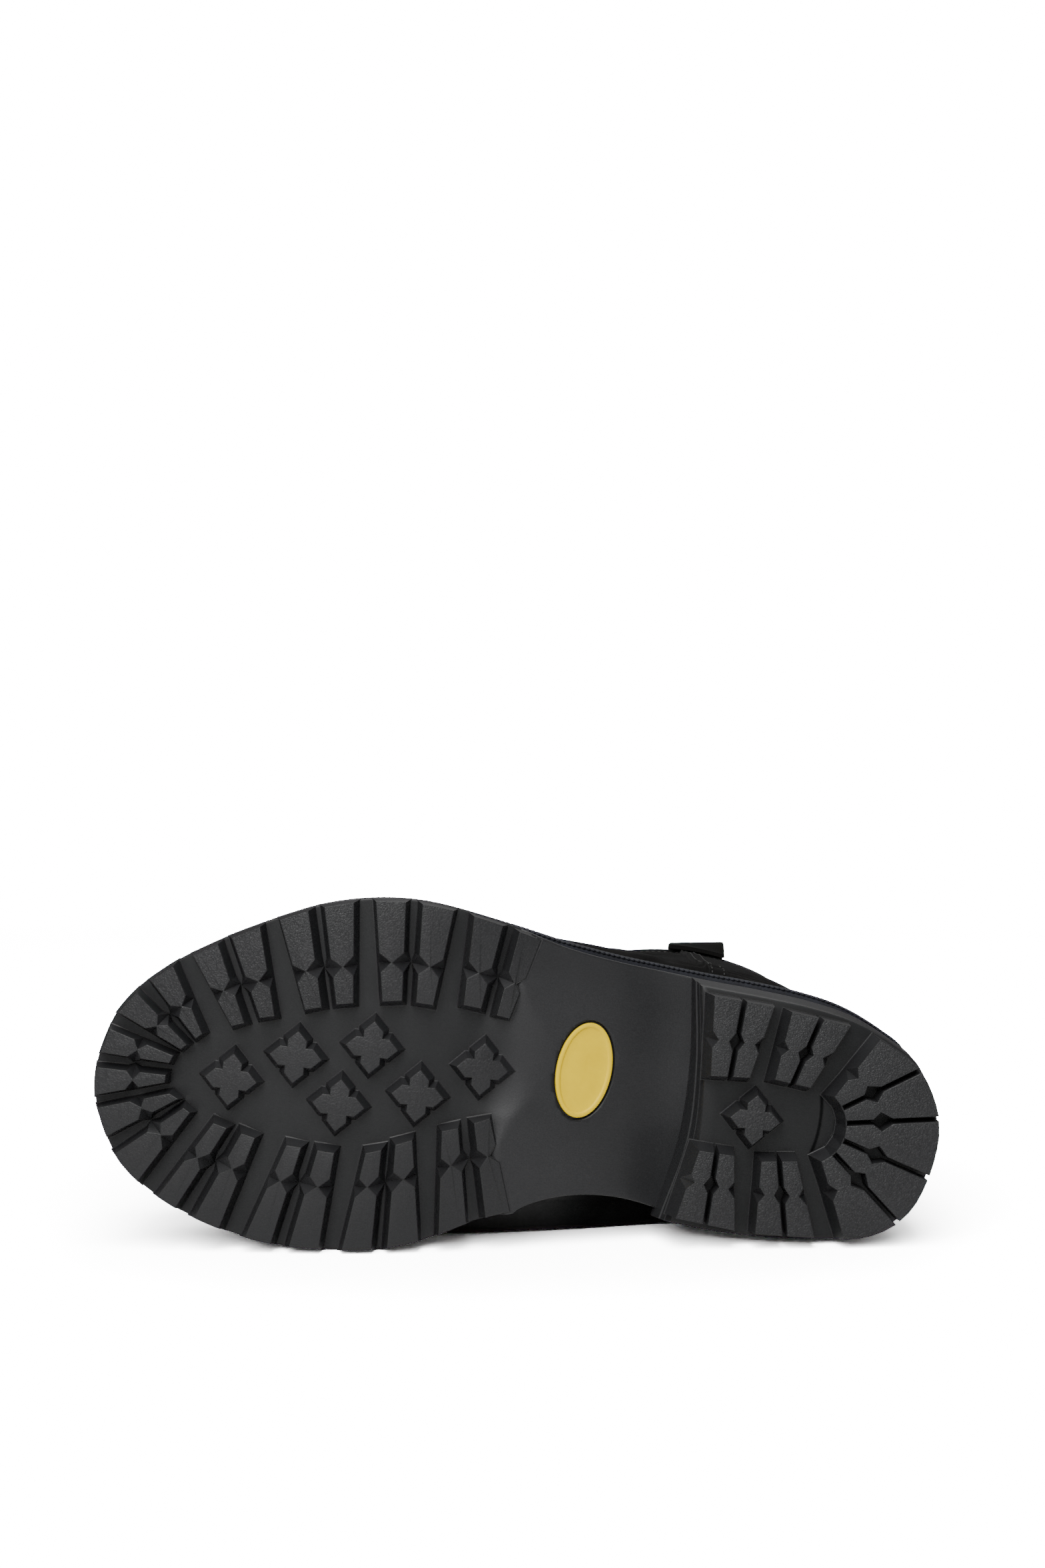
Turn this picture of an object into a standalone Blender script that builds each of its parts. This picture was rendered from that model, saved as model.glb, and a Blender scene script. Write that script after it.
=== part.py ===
"""Left ankle boot with a lugged rubber sole, lying on its inner side.

Everything is worked out in the boot's own standing frame, in millimetres: x runs from the heel's back
to the toe, y from the inner side (0 is the line it rests on when it lies) to the outer side, and z from
the ground up. An empty then lays the boot down: toe to -X, sole facing -Y, outer side up.
"""

import math
from collections import namedtuple

import bmesh
import bpy
import numpy as np

MM = 0.001
OBJECT_NAME = "ankle_boot"

# ---------------------------------------------------------------- sole: sections along the foot

Section = namedtuple("Section", "x inner outer face seat")
# inner and outer edge of the welt, height of the walking face or shank, height of the upper's seat
SECTIONS = [
    Section(299, 36.5, 79.0, 12.0, 29.0),
    Section(292, 26.6, 89.5, 10.5, 27.6),
    Section(279, 16.6, 99.8, 8.1, 25.0),
    Section(262, 8.2, 108.6, 5.4, 21.9),
    Section(242, 2.2, 116.6, 2.8, 18.8),
    Section(222, 0.1, 122.6, 0.9, 16.6),
    Section(204, 0.0, 124.6, 0.0, 16.0),
    Section(187, 3.0, 123.6, 0.3, 16.4),
    Section(169, 9.2, 119.2, 2.0, 17.9),
    Section(152, 12.6, 113.2, 4.9, 20.2),
    Section(134, 12.8, 105.9, 9.6, 23.8),
    Section(116, 10.4, 100.6, 15.4, 28.4),
    Section(99, 6.0, 96.6, 21.0, 32.6),
    Section(82, 2.1, 92.9, 22.0, 35.6),
    Section(64, 0.0, 89.4, 22.0, 37.6),
    Section(46, -0.5, 85.3, 22.0, 39.0),
    Section(30, 0.0, 79.8, 22.0, 39.8),
    Section(16, 6.0, 71.4, 22.0, 40.4),
    Section(7, 16.8, 63.6, 22.0, 40.8),
]
TOE_TIP = Section(304.7, 58.0, 58.0, 13.2, 30.0)
HEEL_TIP = Section(0.0, 42.0, 42.0, 22.0, 41.0)

GAP = 0.3                 # clearance between pieces that touch
LUG_DEPTH = 6.5
LUG_SUNK = 1.0            # how far a lug's root reaches into the sole before they are joined
FACE_INSET = 1.0          # walking edge inside the welt's edge, forefoot
END_LEAN = 1.8            # how far a lug's inner end wall leans out at its root
TOE_END_LEAN = 1.4        # and at the toe, where the lugs stand closer
TOE_FROM = 264.0
OUTER_LEAN = 0.5          # the same of the outer end wall
OUTSOLE_BASE = 5.0        # rubber above the shank's face
FOREFOOT_MORE = 6.0       # and so much more under the forefoot
RAMP_FRONT = 172.0        # channel floor starts to rise to the shank
RAMP_BACK = 150.0
SHANK_STEP = 0.4          # shank lies this much above the last lugs' faces
WAIST_UNDERCUT = 5.0      # inner edge of the shank inside the welt's edge
WAIST_FROM = 92.0
WAIST_TO = 155.0

# ---------------------------------------------------------------- tread: forefoot

Lug = namedtuple("Lug", "outer_a outer_b inner_a inner_b pinch lean_a lean_b")
# corners of the face seen from below, outer side to the toe and back, the pinch as a share of the
# length from the outer end, and how far each side wall leans out at its root
LUGS = [
    Lug((144.5, 109.0), (152.5, 112.0), (156.1, 81.4), (160.7, 82.7), 0.580, 1.0, 2.2),
    Lug((158.2, 114.5), (168.7, 117.6), (166.2, 85.2), (172.5, 86.6), 0.605, 2.1, 1.8),
    Lug((175.7, 119.9), (187.0, 122.3), (183.2, 86.7), (189.3, 87.7), 0.615, 1.3, 1.5),
    Lug((192.7, 122.9), (203.4, 123.1), (194.1, 88.4), (201.2, 88.2), 0.610, 1.4, 0.8),
    Lug((210.9, 122.9), (221.6, 121.6), (211.3, 87.7), (217.4, 87.2), 0.625, 1.7, 1.4),
    Lug((226.9, 120.0), (237.2, 117.1), (222.4, 86.3), (228.4, 85.4), 0.600, 2.3, 0.5),
    Lug((244.3, 115.4), (254.3, 110.8), (239.0, 83.1), (244.4, 82.5), 0.580, 1.6, 1.2),
    Lug((259.1, 108.9), (268.2, 104.6), (249.7, 80.7), (254.4, 79.6), 0.550, 1.9, 0.6),
    Lug((275.0, 101.0), (283.5, 95.8), (264.7, 76.9), (267.2, 75.1), 0.530, 1.9, 1.2),
    Lug((288.4, 91.5), (294.8, 84.1), (270.2, 73.0), (272.5, 71.3), 0.530, 1.2, 1.1),
    Lug((298.1, 78.5), (301.5, 69.9), (275.1, 69.1), (276.6, 66.4), 0.490, 1.0, 0.9),
    Lug((302.5, 64.6), (303.4, 54.7), (277.8, 62.3), (278.2, 59.5), 0.530, 1.2, 0.9),
    Lug((301.9, 50.5), (299.3, 40.2), (276.6, 55.8), (273.4, 53.8), 0.550, 0.9, 1.2),
    Lug((294.6, 35.2), (287.4, 25.3), (271.6, 50.8), (269.2, 49.0), 0.575, 1.2, 1.9),
    Lug((280.8, 20.0), (274.2, 16.1), (261.0, 45.5), (256.1, 43.7), 0.580, 1.3, 2.0),
    Lug((267.7, 12.9), (258.6, 9.6), (251.1, 42.0), (246.1, 40.3), 0.620, 1.9, 2.2),
    Lug((249.9, 6.1), (240.6, 4.0), (235.1, 37.9), (229.8, 37.0), 0.630, 1.2, 2.0),
    Lug((234.3, 3.1), (223.9, 1.9), (224.2, 36.1), (218.2, 35.1), 0.634, 1.5, 1.7),
    Lug((215.8, 1.3), (205.5, 1.4), (207.3, 35.0), (201.6, 36.1), 0.640, 1.1, 1.8),
    Lug((200.0, 2.2), (188.9, 4.3), (196.8, 37.9), (190.7, 39.4), 0.637, 1.8, 1.0),
    Lug((181.7, 5.6), (171.7, 9.1), (180.4, 42.3), (174.5, 43.2), 0.640, 1.5, 0.9),
    Lug((165.0, 11.6), (156.2, 13.3), (169.0, 44.8), (163.2, 46.4), 0.620, 2.2, 1.2),
]
PINCH_REACH = 0.095       # length of the pointed part on each side, as a share
PINCH_WIDTH = 1.4
EDGE_SAMPLES = 3000       # places tried when a corner is set on the walking edge

CROSS_TIP = 9.4
CROSS_SHOULDER = (3.5, 5.9)
CROSS_NOTCH = 3.4
CROSS_LEAN = 1.6
CROSS_DROP = 0.5          # crosses stop this much short of the lugs' faces
CROSS_TURN = 7.0
CROSSES = [(254.8, 60.8), (231.8, 68.8), (204.9, 72.1), (216.8, 51.8), (188.8, 54.8), (165.8, 63.8)]
HEEL_CROSS = (69.6, 45.6)
HEEL_CROSS_LESS = 0.3     # the heel's cross is this much smaller

# ---------------------------------------------------------------- heel

HEEL_HIGH = 22.0          # from the ground to the sole above the heel block
HEEL_LUG = 8.0
HEEL_TAPER = 2.6          # walking edge of the heel inside the welt's edge
BREAST = [(88.5, 91.0), (87.6, 62.0), (90.0, 36.0), (100.7, 8.0)]
BREAST_LEAN = 2.2
HEEL_POINTS = 40
HEEL_FLUSH = 0.05         # top of the heel block inside the welt's edge
HEEL_SUNK = 2.5           # how far the heel block reaches into the sole before they are joined
SLIT = 1.8
SLIT_LEAN = 0.2           # walls of the slits stand nearly upright
HEEL_OUTER_LEAN = 0.3
HEEL_INNER_LEAN = 2.2
HEEL_BACK_LEAN = 0.6      # back wall of each side block
BLOCK_PINCH = 0.54
BLOCK_NOTCH = 2.3
BLOCK_REACH = 0.11

HeelBlock = namedtuple("HeelBlock", "front_out back_out front_in back_in front_lean")
# corners of the four side blocks, seen from below, and the lean of their front walls
HEEL_BLOCKS = [
    HeelBlock((83.4, 89.4), (61.7, 85.3), (84.9, 60.8), (70.7, 60.0), 2.2),
    HeelBlock((55.6, 83.4), (34.4, 78.2), (61.9, 59.3), (49.0, 56.2), 2.0),
    HeelBlock((69.3, 4.6), (47.8, 2.9), (66.9, 30.4), (53.9, 30.3), 1.3),
    HeelBlock((97.6, 10.7), (76.4, 5.9), (89.1, 34.6), (76.4, 32.5), 3.0),
]
RING_CENTRE = (50.0, 43.0)
RING_INNER = 13.7
RING_BOUNDS = [129.5, 154.8, 177.9, 204.0, 227.6, 254.0]   # degrees of the slits round the back
RING_PINCH = 0.60
RING_NOTCH = 2.6
RING_REACH = 0.105
RING_FIRST_LEAN = 2.0
RING_LAST_LEAN = 2.3

# ---------------------------------------------------------------- badge inset in the shank

BADGE_CENTRE = (128.8, 62.0)
BADGE_LENGTH = 35.0
BADGE_WIDTH = 22.0
BADGE_TURN = 103.0
BADGE_DEPTH = 1.3
BADGE_LIP = 0.45          # height of the lip round its edge
BADGE_LIP_WIDTH = 1.5
BADGE_LIP_EDGE = 0.3

# ---------------------------------------------------------------- welt, upper, insole, loop

WELT_WIDTH = 5.0
WELT_HEIGHT = 6.5
UPPER_INSET = WELT_WIDTH + 0.45
OVER_WELT = 0.4           # the upper turns outwards this far over the welt
UPPER_WALL = 3.0
INSOLE_THICK = 4.0
INSOLE_GAP = 0.6

Ring = namedtuple("Ring", "rise level share back")
# rise over the welt, level of the slice, share of the level, and x of the upper's back
UPPER_RINGS = [
    Ring(3.0, 45, 0.0, 2.6),
    Ring(8.0, 52, 0.1, 1.0),
    Ring(16.0, 58, 0.35, 0.4),
    Ring(26.0, 66, 0.7, 1.2),
    Ring(34.0, 74, 1.0, 2.8),
    Ring(0.0, 83, 1.0, 5.2),
    Ring(0.0, 93, 1.0, 7.4),
    Ring(0.0, 104, 1.0, 9.2),
    Ring(0.0, 117, 1.0, 10.4),
    Ring(0.0, 132, 1.0, 11.0),
    Ring(0.0, 150, 1.0, 11.2),
    Ring(0.0, 171, 1.0, 11.0),
    Ring(0.0, 193, 1.0, 10.6),
]
Crest = namedtuple("Crest", "x height y")
# the ridge line from the toe over the instep to the collar
CREST = [
    Crest(303.0, 40.0, 58), Crest(301.0, 50.0, 58), Crest(296.5, 58.0, 58), Crest(288.0, 65.0, 58),
    Crest(272.0, 72.5, 58), Crest(250.0, 80.0, 58), Crest(225.0, 88.5, 57), Crest(203.0, 98.0, 56),
    Crest(184.0, 109.0, 54), Crest(169.0, 122.0, 52), Crest(158.0, 137.0, 50), Crest(150.5, 153.0, 48),
    Crest(146.0, 172.0, 47), Crest(143.5, 194.0, 46.5), Crest(143.0, 205.0, 46.5),
]
Shaft = namedtuple("Shaft", "level front widest inner outer")
SHAFT = [
    Shaft(40, 152, 96, 7.0, 90.0), Shaft(80, 152, 96, 3.5, 93.5), Shaft(110, 153, 95, 1.6, 95.6),
    Shaft(140, 152, 92, 0.8, 96.2), Shaft(170, 146.5, 88, 0.2, 94.6), Shaft(200, 143.3, 84, 0.0, 93.0),
]
Bulge = namedtuple("Bulge", "x outer")
# how far the upper stands out over the welt's outer edge
BULGES = [Bulge(0, -1.0), Bulge(30, -0.5), Bulge(55, 1.5), Bulge(82, 3.0), Bulge(100, 1.6),
          Bulge(118, 0.2), Bulge(145, -1.6), Bulge(180, -2.2), Bulge(230, -2.0), Bulge(305, -1.5)]
CROSS_POWER = 2.3         # roundness of the foot's cross-sections
SHAFT_POWER = 2.2         # roundness of the shaft in front of its widest place
BACK_POWER = 1.95         # and behind it
BULGE_INNER = -1.2
COLLAR_TILT = 0.04        # the collar rises to the front
COLLAR_LEVEL = 193.0
SHAFT_MIDDLE_X = 75.0     # about the shaft's middle, where the tilt leaves the height as it is
SHAFT_MIDDLE_Y = 46.5
SWELL_FROM = -1.0         # the upper swells out over the welt between these heights above it
SWELL_TO = 10.0
SWELL_LOW = 1.5           # and stands this far in below them
FOOT_TO_SHAFT = (50.0, 100.0)   # heights between which foot sections become the shaft's oval
FOOT_FADES = (115.0, 160.0)     # heights between which the foot's sides cease to matter
BLEND = 4.0               # roundness where foot and shaft meet
COLUMN_SPAN = 300.0       # length that the upper's columns are spread over
PLAIN_TO = 104.0          # columns behind this x stand nearly upright
LEAN = 12.0               # how far that column leans back at the collar
SEAM_X = (71.0, 79.5)     # raised side seam strip
SEAM_STEP = 0.9
SEAM_EDGE = 0.8

LOOP_X = (53.8, 78.3)
LOOP_THICK = 1.7
LOOP_FLAT = 93.5          # height of the strap's inner side where it stands free
LOOP_CLEAR = 0.7          # strap off the seam strip
LOOP_LEVELS = (178.0, 182.5, 186.5, 191.0, 197.0, 201.2, 204.0, 199.6, 193.0, 182.0, 168.0)
LOOP_INSIDE = 0.7         # strap off the lining at the collar's edge

# ---------------------------------------------------------------- how the boot lies

REST_ROLL = 0.57          # degrees about the boot's length
REST_PITCH = 0.18         # degrees about the boot's height
REST_BACK = -103.24      # half of the depth
REST_DROP = 1.16

RUBBER = ((0.030, 0.030, 0.032, 1.0), 0.55)
MIDSOLE = ((0.024, 0.025, 0.026, 1.0), 0.60)
CORD = ((0.016, 0.018, 0.030, 1.0), 0.80)
SUEDE = ((0.012, 0.011, 0.011, 1.0), 0.95)
LINING = ((0.045, 0.043, 0.042, 1.0), 1.00)
YELLOW = ((0.900, 0.560, 0.010, 1.0), 0.40)


# ================================================================ curves

def smooth_curve(knots, per_span, closed=True):
    """Centripetal cubic through the knots, sampled per_span times between each two."""
    pts = np.array(knots, float)
    count = len(pts)
    if closed:
        ext = np.vstack([pts[-1], pts, pts[:2]])
    else:
        ext = np.vstack([2 * pts[0] - pts[1], pts, 2 * pts[-1] - pts[-2]])
    out = []
    for i in range(count if closed else count - 1):
        p = ext[i:i + 4]
        t = np.concatenate([[0], np.cumsum(np.linalg.norm(np.diff(p, axis=0), axis=1) ** 0.5)])
        u = np.linspace(t[1], t[2], per_span, endpoint=False)[:, None]
        a = [(t[k + 1] - u) / (t[k + 1] - t[k]) * p[k] + (u - t[k]) / (t[k + 1] - t[k]) * p[k + 1]
             for k in range(3)]
        b = [(t[k + 2] - u) / (t[k + 2] - t[k]) * a[k] + (u - t[k]) / (t[k + 2] - t[k]) * a[k + 1]
             for k in range(2)]
        out.append((t[2] - u) / (t[2] - t[1]) * b[0] + (u - t[1]) / (t[2] - t[1]) * b[1])
    if not closed:
        out.append(pts[-1:])
    return np.vstack(out)


def arc_lengths(points):
    steps = np.linalg.norm(np.diff(np.vstack([points, points[:1]]), axis=0), axis=1)
    return np.concatenate([[0.0], np.cumsum(steps)])


def along(points, arcs):
    """Points of a closed outline at the given arc lengths."""
    total = arc_lengths(points)
    ring = np.vstack([points, points[:1]])
    s = np.mod(arcs, total[-1])
    return np.column_stack([np.interp(s, total, ring[:, k]) for k in range(2)])


def inset(points, distance):
    """Outline moved inwards along its own normal; the outline runs clockwise seen from above."""
    before = np.roll(points, 1, axis=0)
    after = np.roll(points, -1, axis=0)
    tangent = after - before
    tangent /= np.linalg.norm(tangent, axis=1)[:, None]
    return points + distance * np.column_stack([tangent[:, 1], -tangent[:, 0]])


def welt_outline():
    """Closed outline: heel tip, outer side to the toe, inner side back."""
    rows = sorted(SECTIONS, key=lambda row: row.x)
    knots = [(HEEL_TIP.x, HEEL_TIP.outer)]
    knots += [(row.x, row.outer) for row in rows]
    knots += [(TOE_TIP.x, TOE_TIP.outer)]
    knots += [(row.x, row.inner) for row in reversed(rows)]
    return smooth_curve(knots, 12)


OUTLINE = welt_outline()


def by_x(column):
    """Smooth function of x through one column of SECTIONS."""
    rows = sorted(SECTIONS + [TOE_TIP, HEEL_TIP], key=lambda row: row.x)
    curve = smooth_curve([(row.x, getattr(row, column)) for row in rows], 8, closed=False)
    return lambda x: float(np.interp(x, curve[:, 0], curve[:, 1]))


face_height = by_x("face")
seat_height = by_x("seat")


def side_edges(outline, x):
    """Inner and outer y of an outline at one x."""
    toe = int(np.argmax(outline[:, 0]))
    heel = int(np.argmin(outline[:, 0]))
    order = np.roll(np.arange(len(outline)), -heel)
    turn = int(np.where(order == toe)[0][0])
    up = outline[order[:turn + 1]]
    down = outline[np.append(order[turn:], order[0])][::-1]
    outer = float(np.interp(x, up[:, 0], up[:, 1]))
    inner = float(np.interp(x, down[:, 0], down[:, 1]))
    return inner, outer


def ramp(x, low, high):
    t = min(max((x - low) / (high - low), 0.0), 1.0)
    return t * t * (3 - 2 * t)


def floor_height(x):
    """Underside of the sole between the lugs, and the shank behind them."""
    tread = ramp(x, RAMP_BACK, RAMP_FRONT)
    return face_height(x) + SHANK_STEP + (LUG_DEPTH - SHANK_STEP) * tread


def split_height(x):
    """Joint between outsole and midsole."""
    return face_height(x) + OUTSOLE_BASE + FOREFOOT_MORE * ramp(x, RAMP_BACK - 10, RAMP_FRONT)


def undercut(x):
    if not WAIST_FROM < x < WAIST_TO:
        return 0.0
    return WAIST_UNDERCUT * math.sin(math.pi * (x - WAIST_FROM) / (WAIST_TO - WAIST_FROM)) ** 0.6


# ================================================================ meshes

def finish(ctx, name, bm, look):
    """Make the object of a bmesh in millimetres, with its own material, under the boot's empty."""
    bmesh.ops.scale(bm, vec=(MM, MM, MM), verts=bm.verts)
    bmesh.ops.recalc_face_normals(bm, faces=bm.faces)
    mesh = bpy.data.meshes.new(name)
    bm.to_mesh(mesh)
    bm.free()
    obj = bpy.data.objects.new(name, mesh)
    obj.parent = ctx["rest"]
    ctx["parts"].objects.link(obj)
    if look:
        mesh.materials.append(make_material(name, *look))
    return obj


def make_material(name, colour, roughness):
    mat = bpy.data.materials.new(name + "_material")
    mat.use_nodes = True
    shader = mat.node_tree.nodes["Principled BSDF"]
    shader.inputs["Base Color"].default_value = colour
    shader.inputs["Roughness"].default_value = roughness
    shader.inputs["Metallic"].default_value = 0.0
    mat.diffuse_color = colour
    return mat


def loft(bm, rings, close_ends=True, close_rows=False):
    """Skin closed rings of equal length; the first and last are capped, or joined to each other."""
    rows = [[bm.verts.new(p) for p in ring] for ring in rings]
    count = len(rows[0])
    pairs = list(zip(rows, rows[1:]))
    if close_rows:
        pairs.append((rows[-1], rows[0]))
    for low, high in pairs:
        for i in range(count):
            j = (i + 1) % count
            bm.faces.new((low[i], low[j], high[j], high[i]))
    if close_ends:
        bm.faces.new(rows[0][::-1])
        bm.faces.new(rows[-1])
    return rows


def stations(outline, count):
    """x places along an outline, closer together towards both tips."""
    low, high = outline[:, 0].min(), outline[:, 0].max()
    t = (1 - np.cos(np.linspace(0, math.pi, count + 2)[1:-1])) / 2
    return low + (high - low) * t


def slab(bm, outline, count, bottom, top, cut_bottom=0.0, cut_top=0.0):
    """Solid between two heights inside an outline, as sections across the foot."""
    sections = []
    for x in stations(outline, count):
        inner, outer = side_edges(outline, x)
        low, high = bottom(x), top(x)
        sections.append([
            (x, inner + cut_bottom * undercut(x), low), (x, outer, low),
            (x, outer, high), (x, inner + cut_top * undercut(x), high)])
    loft(bm, sections)


def prism(bm, low, low_z, high, high_z):
    """Closed solid between two polygons with as many corners, each corner at its own height."""
    loft(bm, [
        [(x, y, low_z(x)) for x, y in low],
        [(x, y, high_z(x)) for x, y in high]])


# ================================================================ tread

def pinched_lug(outer, inner_a, inner_b, pinch_at, reach, notch=None):
    """Face and root of a lug: a block notched on both sides, down to a narrow neck without a notch depth.

    The outer end runs through three points of the walking edge.
    """
    a0, middle, b0, a1, b1 = (np.array(p, float) for p in (*outer, inner_a, inner_b))
    side_a, side_b = a1 - a0, b1 - b0
    before, after = pinch_at - reach, pinch_at + reach
    mid_a, mid_b = a0 + pinch_at * side_a, b0 + pinch_at * side_b
    across = (mid_b - mid_a) / np.linalg.norm(mid_b - mid_a)
    width = np.linalg.norm(mid_b - mid_a)
    depth = (width - PINCH_WIDTH) / 2 if notch is None else notch
    face = [a0, middle, b0, b0 + before * side_b, mid_b - across * depth, b0 + after * side_b, b1,
            a1, a0 + after * side_a, mid_a + across * depth, a0 + before * side_a]
    root = [a0, middle, b0, b0 + before * side_b, mid_b, b0 + after * side_b, b1,
            a1, a0 + after * side_a, mid_a, a0 + before * side_a]
    return face, root


def widen(root, lean_a, lean_b, lean_in, lean_out):
    """Move a lug's root out from its face by the lean of each of its walls."""
    a0, b0 = root[0], root[2]
    a1, b1 = root[7], root[6]
    across = (b0 + b1 - a0 - a1) / np.linalg.norm(b0 + b1 - a0 - a1)
    lengthways = (a1 + b1 - a0 - b0) / np.linalg.norm(a1 + b1 - a0 - b0)
    sides = [-lean_a, 0, lean_b] + [lean_b] * 4 + [-lean_a] * 4
    ends = [-lean_out] * 3 + [0] * 3 + [lean_in] * 2 + [0] * 3
    return [p + across * s + lengthways * e for p, s, e in zip(root, sides, ends)]


def edge_snapper(edge):
    """Function that gives the arc length of the edge's place next to a point."""
    arcs = np.linspace(0, arc_lengths(edge)[-1], EDGE_SAMPLES, endpoint=False)
    places = along(edge, arcs)
    return lambda point: arcs[np.argmin(np.hypot(*(places - point).T))]


def forefoot_lugs(bm):
    edge = inset(OUTLINE, FACE_INSET)
    snap = edge_snapper(edge)
    for lug in LUGS:
        arc_a, arc_b = snap(lug.outer_a), snap(lug.outer_b)
        outer = along(edge, np.array([arc_a, (arc_a + arc_b) / 2, arc_b]))
        face, root = pinched_lug(outer, lug.inner_a, lug.inner_b, lug.pinch, PINCH_REACH)
        end = TOE_END_LEAN if lug.inner_a[0] > TOE_FROM else END_LEAN
        root = widen(root, lug.lean_a, lug.lean_b, end, OUTER_LEAN)
        prism(bm, face, face_height, root, lug_root)


def lug_root(x):
    return min(face_height(x) + LUG_DEPTH + LUG_SUNK, split_height(x) - 1.5)


def cross_outline(centre, turn, grow):
    """Four pointed petals with a square notch between each two."""
    a, b = CROSS_SHOULDER
    quarter = [(0, CROSS_TIP), (a, b), (CROSS_NOTCH, CROSS_NOTCH), (b, a)]
    points = []
    for k in range(4):
        angle = math.radians(turn - 90 * k)
        for px, py in quarter:
            radius = math.hypot(px, py)
            scale = (radius + grow) / radius
            px, py = px * scale, py * scale
            points.append((centre[0] + px * math.cos(angle) - py * math.sin(angle),
                           centre[1] + px * math.sin(angle) + py * math.cos(angle)))
    return points


def forefoot_crosses(bm):
    for centre in CROSSES:
        prism(bm, cross_outline(centre, CROSS_TURN, 0.0), lambda x: face_height(x) + CROSS_DROP,
              cross_outline(centre, CROSS_TURN, CROSS_LEAN), lug_root)


def heel_edge():
    """Walking edge of the heel."""
    return inset(OUTLINE, HEEL_TAPER)


def breast_line(shift):
    curve = smooth_curve([(x - shift, y) for x, y in BREAST], 4, closed=False)
    return [tuple(p) for p in curve]


def heel_outline(distance, shift):
    """Heel outline at one level: round the back from the inner to the outer breast corner."""
    edge = inset(OUTLINE, distance)
    breast = breast_line(shift)
    total = arc_lengths(edge)[-1]
    inner_end, outer_end = breast[-1][0], breast[0][0]
    arcs = arc_lengths(edge)[:-1]
    half = len(edge) // 2
    to_outer = np.interp(outer_end, edge[:half, 0], arcs[:half])
    to_inner = np.interp(inner_end, edge[::-1][:half, 0], total - arcs[::-1][:half])
    curve = along(edge, np.linspace(-to_inner, to_outer, HEEL_POINTS))
    return [tuple(p) for p in curve] + breast[1:-1]


def heel_block(bm):
    share = (HEEL_HIGH - HEEL_LUG) / HEEL_HIGH
    prism(bm, heel_outline(HEEL_TAPER * share, BREAST_LEAN * share), lambda x: HEEL_LUG,
          heel_outline(HEEL_FLUSH, 0.0), lambda x: HEEL_HIGH + HEEL_SUNK)


def heel_lug(bm, face, root, leans):
    root = widen(root, *leans, HEEL_INNER_LEAN, HEEL_OUTER_LEAN)
    prism(bm, face, lambda x: 0.0, root, lambda x: HEEL_LUG + LUG_SUNK)


def side_blocks(bm):
    """Each side block is two halves with a slit and a diamond pit between them."""
    for block in HEEL_BLOCKS:
        fo, bo, fi, bi = (np.array(p) for p in block[:4])
        slit_out = SLIT / np.linalg.norm(bo - fo)
        slit_in = SLIT / np.linalg.norm(bi - fi)
        halves = ((0.0, 0.5, (block.front_lean, SLIT_LEAN)), (0.5, 1.0, (SLIT_LEAN, HEEL_BACK_LEAN)))
        for low, high, leans in halves:
            o0 = fo + (bo - fo) * (low + slit_out * low)
            o1 = fo + (bo - fo) * (high - slit_out * (1 - high))
            i0 = fi + (bi - fi) * (low + slit_in * low)
            i1 = fi + (bi - fi) * (high - slit_in * (1 - high))
            face, root = pinched_lug((o0, (o0 + o1) / 2, o1), i0, i1, BLOCK_PINCH, BLOCK_REACH,
                                     BLOCK_NOTCH)
            heel_lug(bm, face, root, leans)


def ring_lugs(bm):
    """Sectors round the back of the heel with radial slits between them."""
    edge = heel_edge()
    cx, cy = RING_CENTRE
    polar = np.degrees(np.arctan2(edge[:, 1] - cy, edge[:, 0] - cx)) % 360
    order = np.argsort(polar)

    def rim(angle):
        radius = np.hypot(edge[order, 0] - cx, edge[order, 1] - cy)
        r = np.interp(angle, polar[order], radius)
        a = math.radians(angle)
        return np.array([cx + r * math.cos(a), cy + r * math.sin(a)]), a

    last = len(RING_BOUNDS) - 2
    for k, (start, stop) in enumerate(zip(RING_BOUNDS, RING_BOUNDS[1:])):
        ends = []
        for angle, side in ((start, 1), (stop, -1)):
            outer, a = rim(angle)
            across = np.array([-math.sin(a), math.cos(a)]) * side * SLIT / 2
            inner = np.array([cx, cy]) + RING_INNER * np.array([math.cos(a), math.sin(a)])
            ends.append((outer + across, inner + across))
        (o0, i0), (o1, i1) = ends
        face, root = pinched_lug((o0, rim((start + stop) / 2)[0], o1), i0, i1, RING_PINCH,
                                 RING_REACH, RING_NOTCH)
        leans = (RING_FIRST_LEAN if k == 0 else SLIT_LEAN, RING_LAST_LEAN if k == last else SLIT_LEAN)
        heel_lug(bm, face, root, leans)


def heel_cross(bm):
    prism(bm, cross_outline(HEEL_CROSS, CROSS_TURN, -HEEL_CROSS_LESS), lambda x: CROSS_DROP,
          cross_outline(HEEL_CROSS, CROSS_TURN, CROSS_LEAN - HEEL_CROSS_LESS),
          lambda x: HEEL_LUG + LUG_SUNK)


# ================================================================ sub-parts

def add_boolean(obj, tool, operation):
    mod = obj.modifiers.new(operation.lower() + "_" + tool.name, "BOOLEAN")
    mod.object = tool
    mod.operation = operation
    mod.solver = "EXACT"


def make_tool(ctx, name, bm):
    """An object that only cuts or joins."""
    tool = finish(ctx, name, bm, None)
    ctx["parts"].objects.unlink(tool)
    ctx["tools"].objects.link(tool)
    tool.hide_render = True
    tool.display_type = "WIRE"
    return tool


def oval(length, width, count=32):
    return [(length / 2 * math.cos(t), width / 2 * math.sin(t))
            for t in np.linspace(0, 2 * math.pi, count, endpoint=False)]


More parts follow.
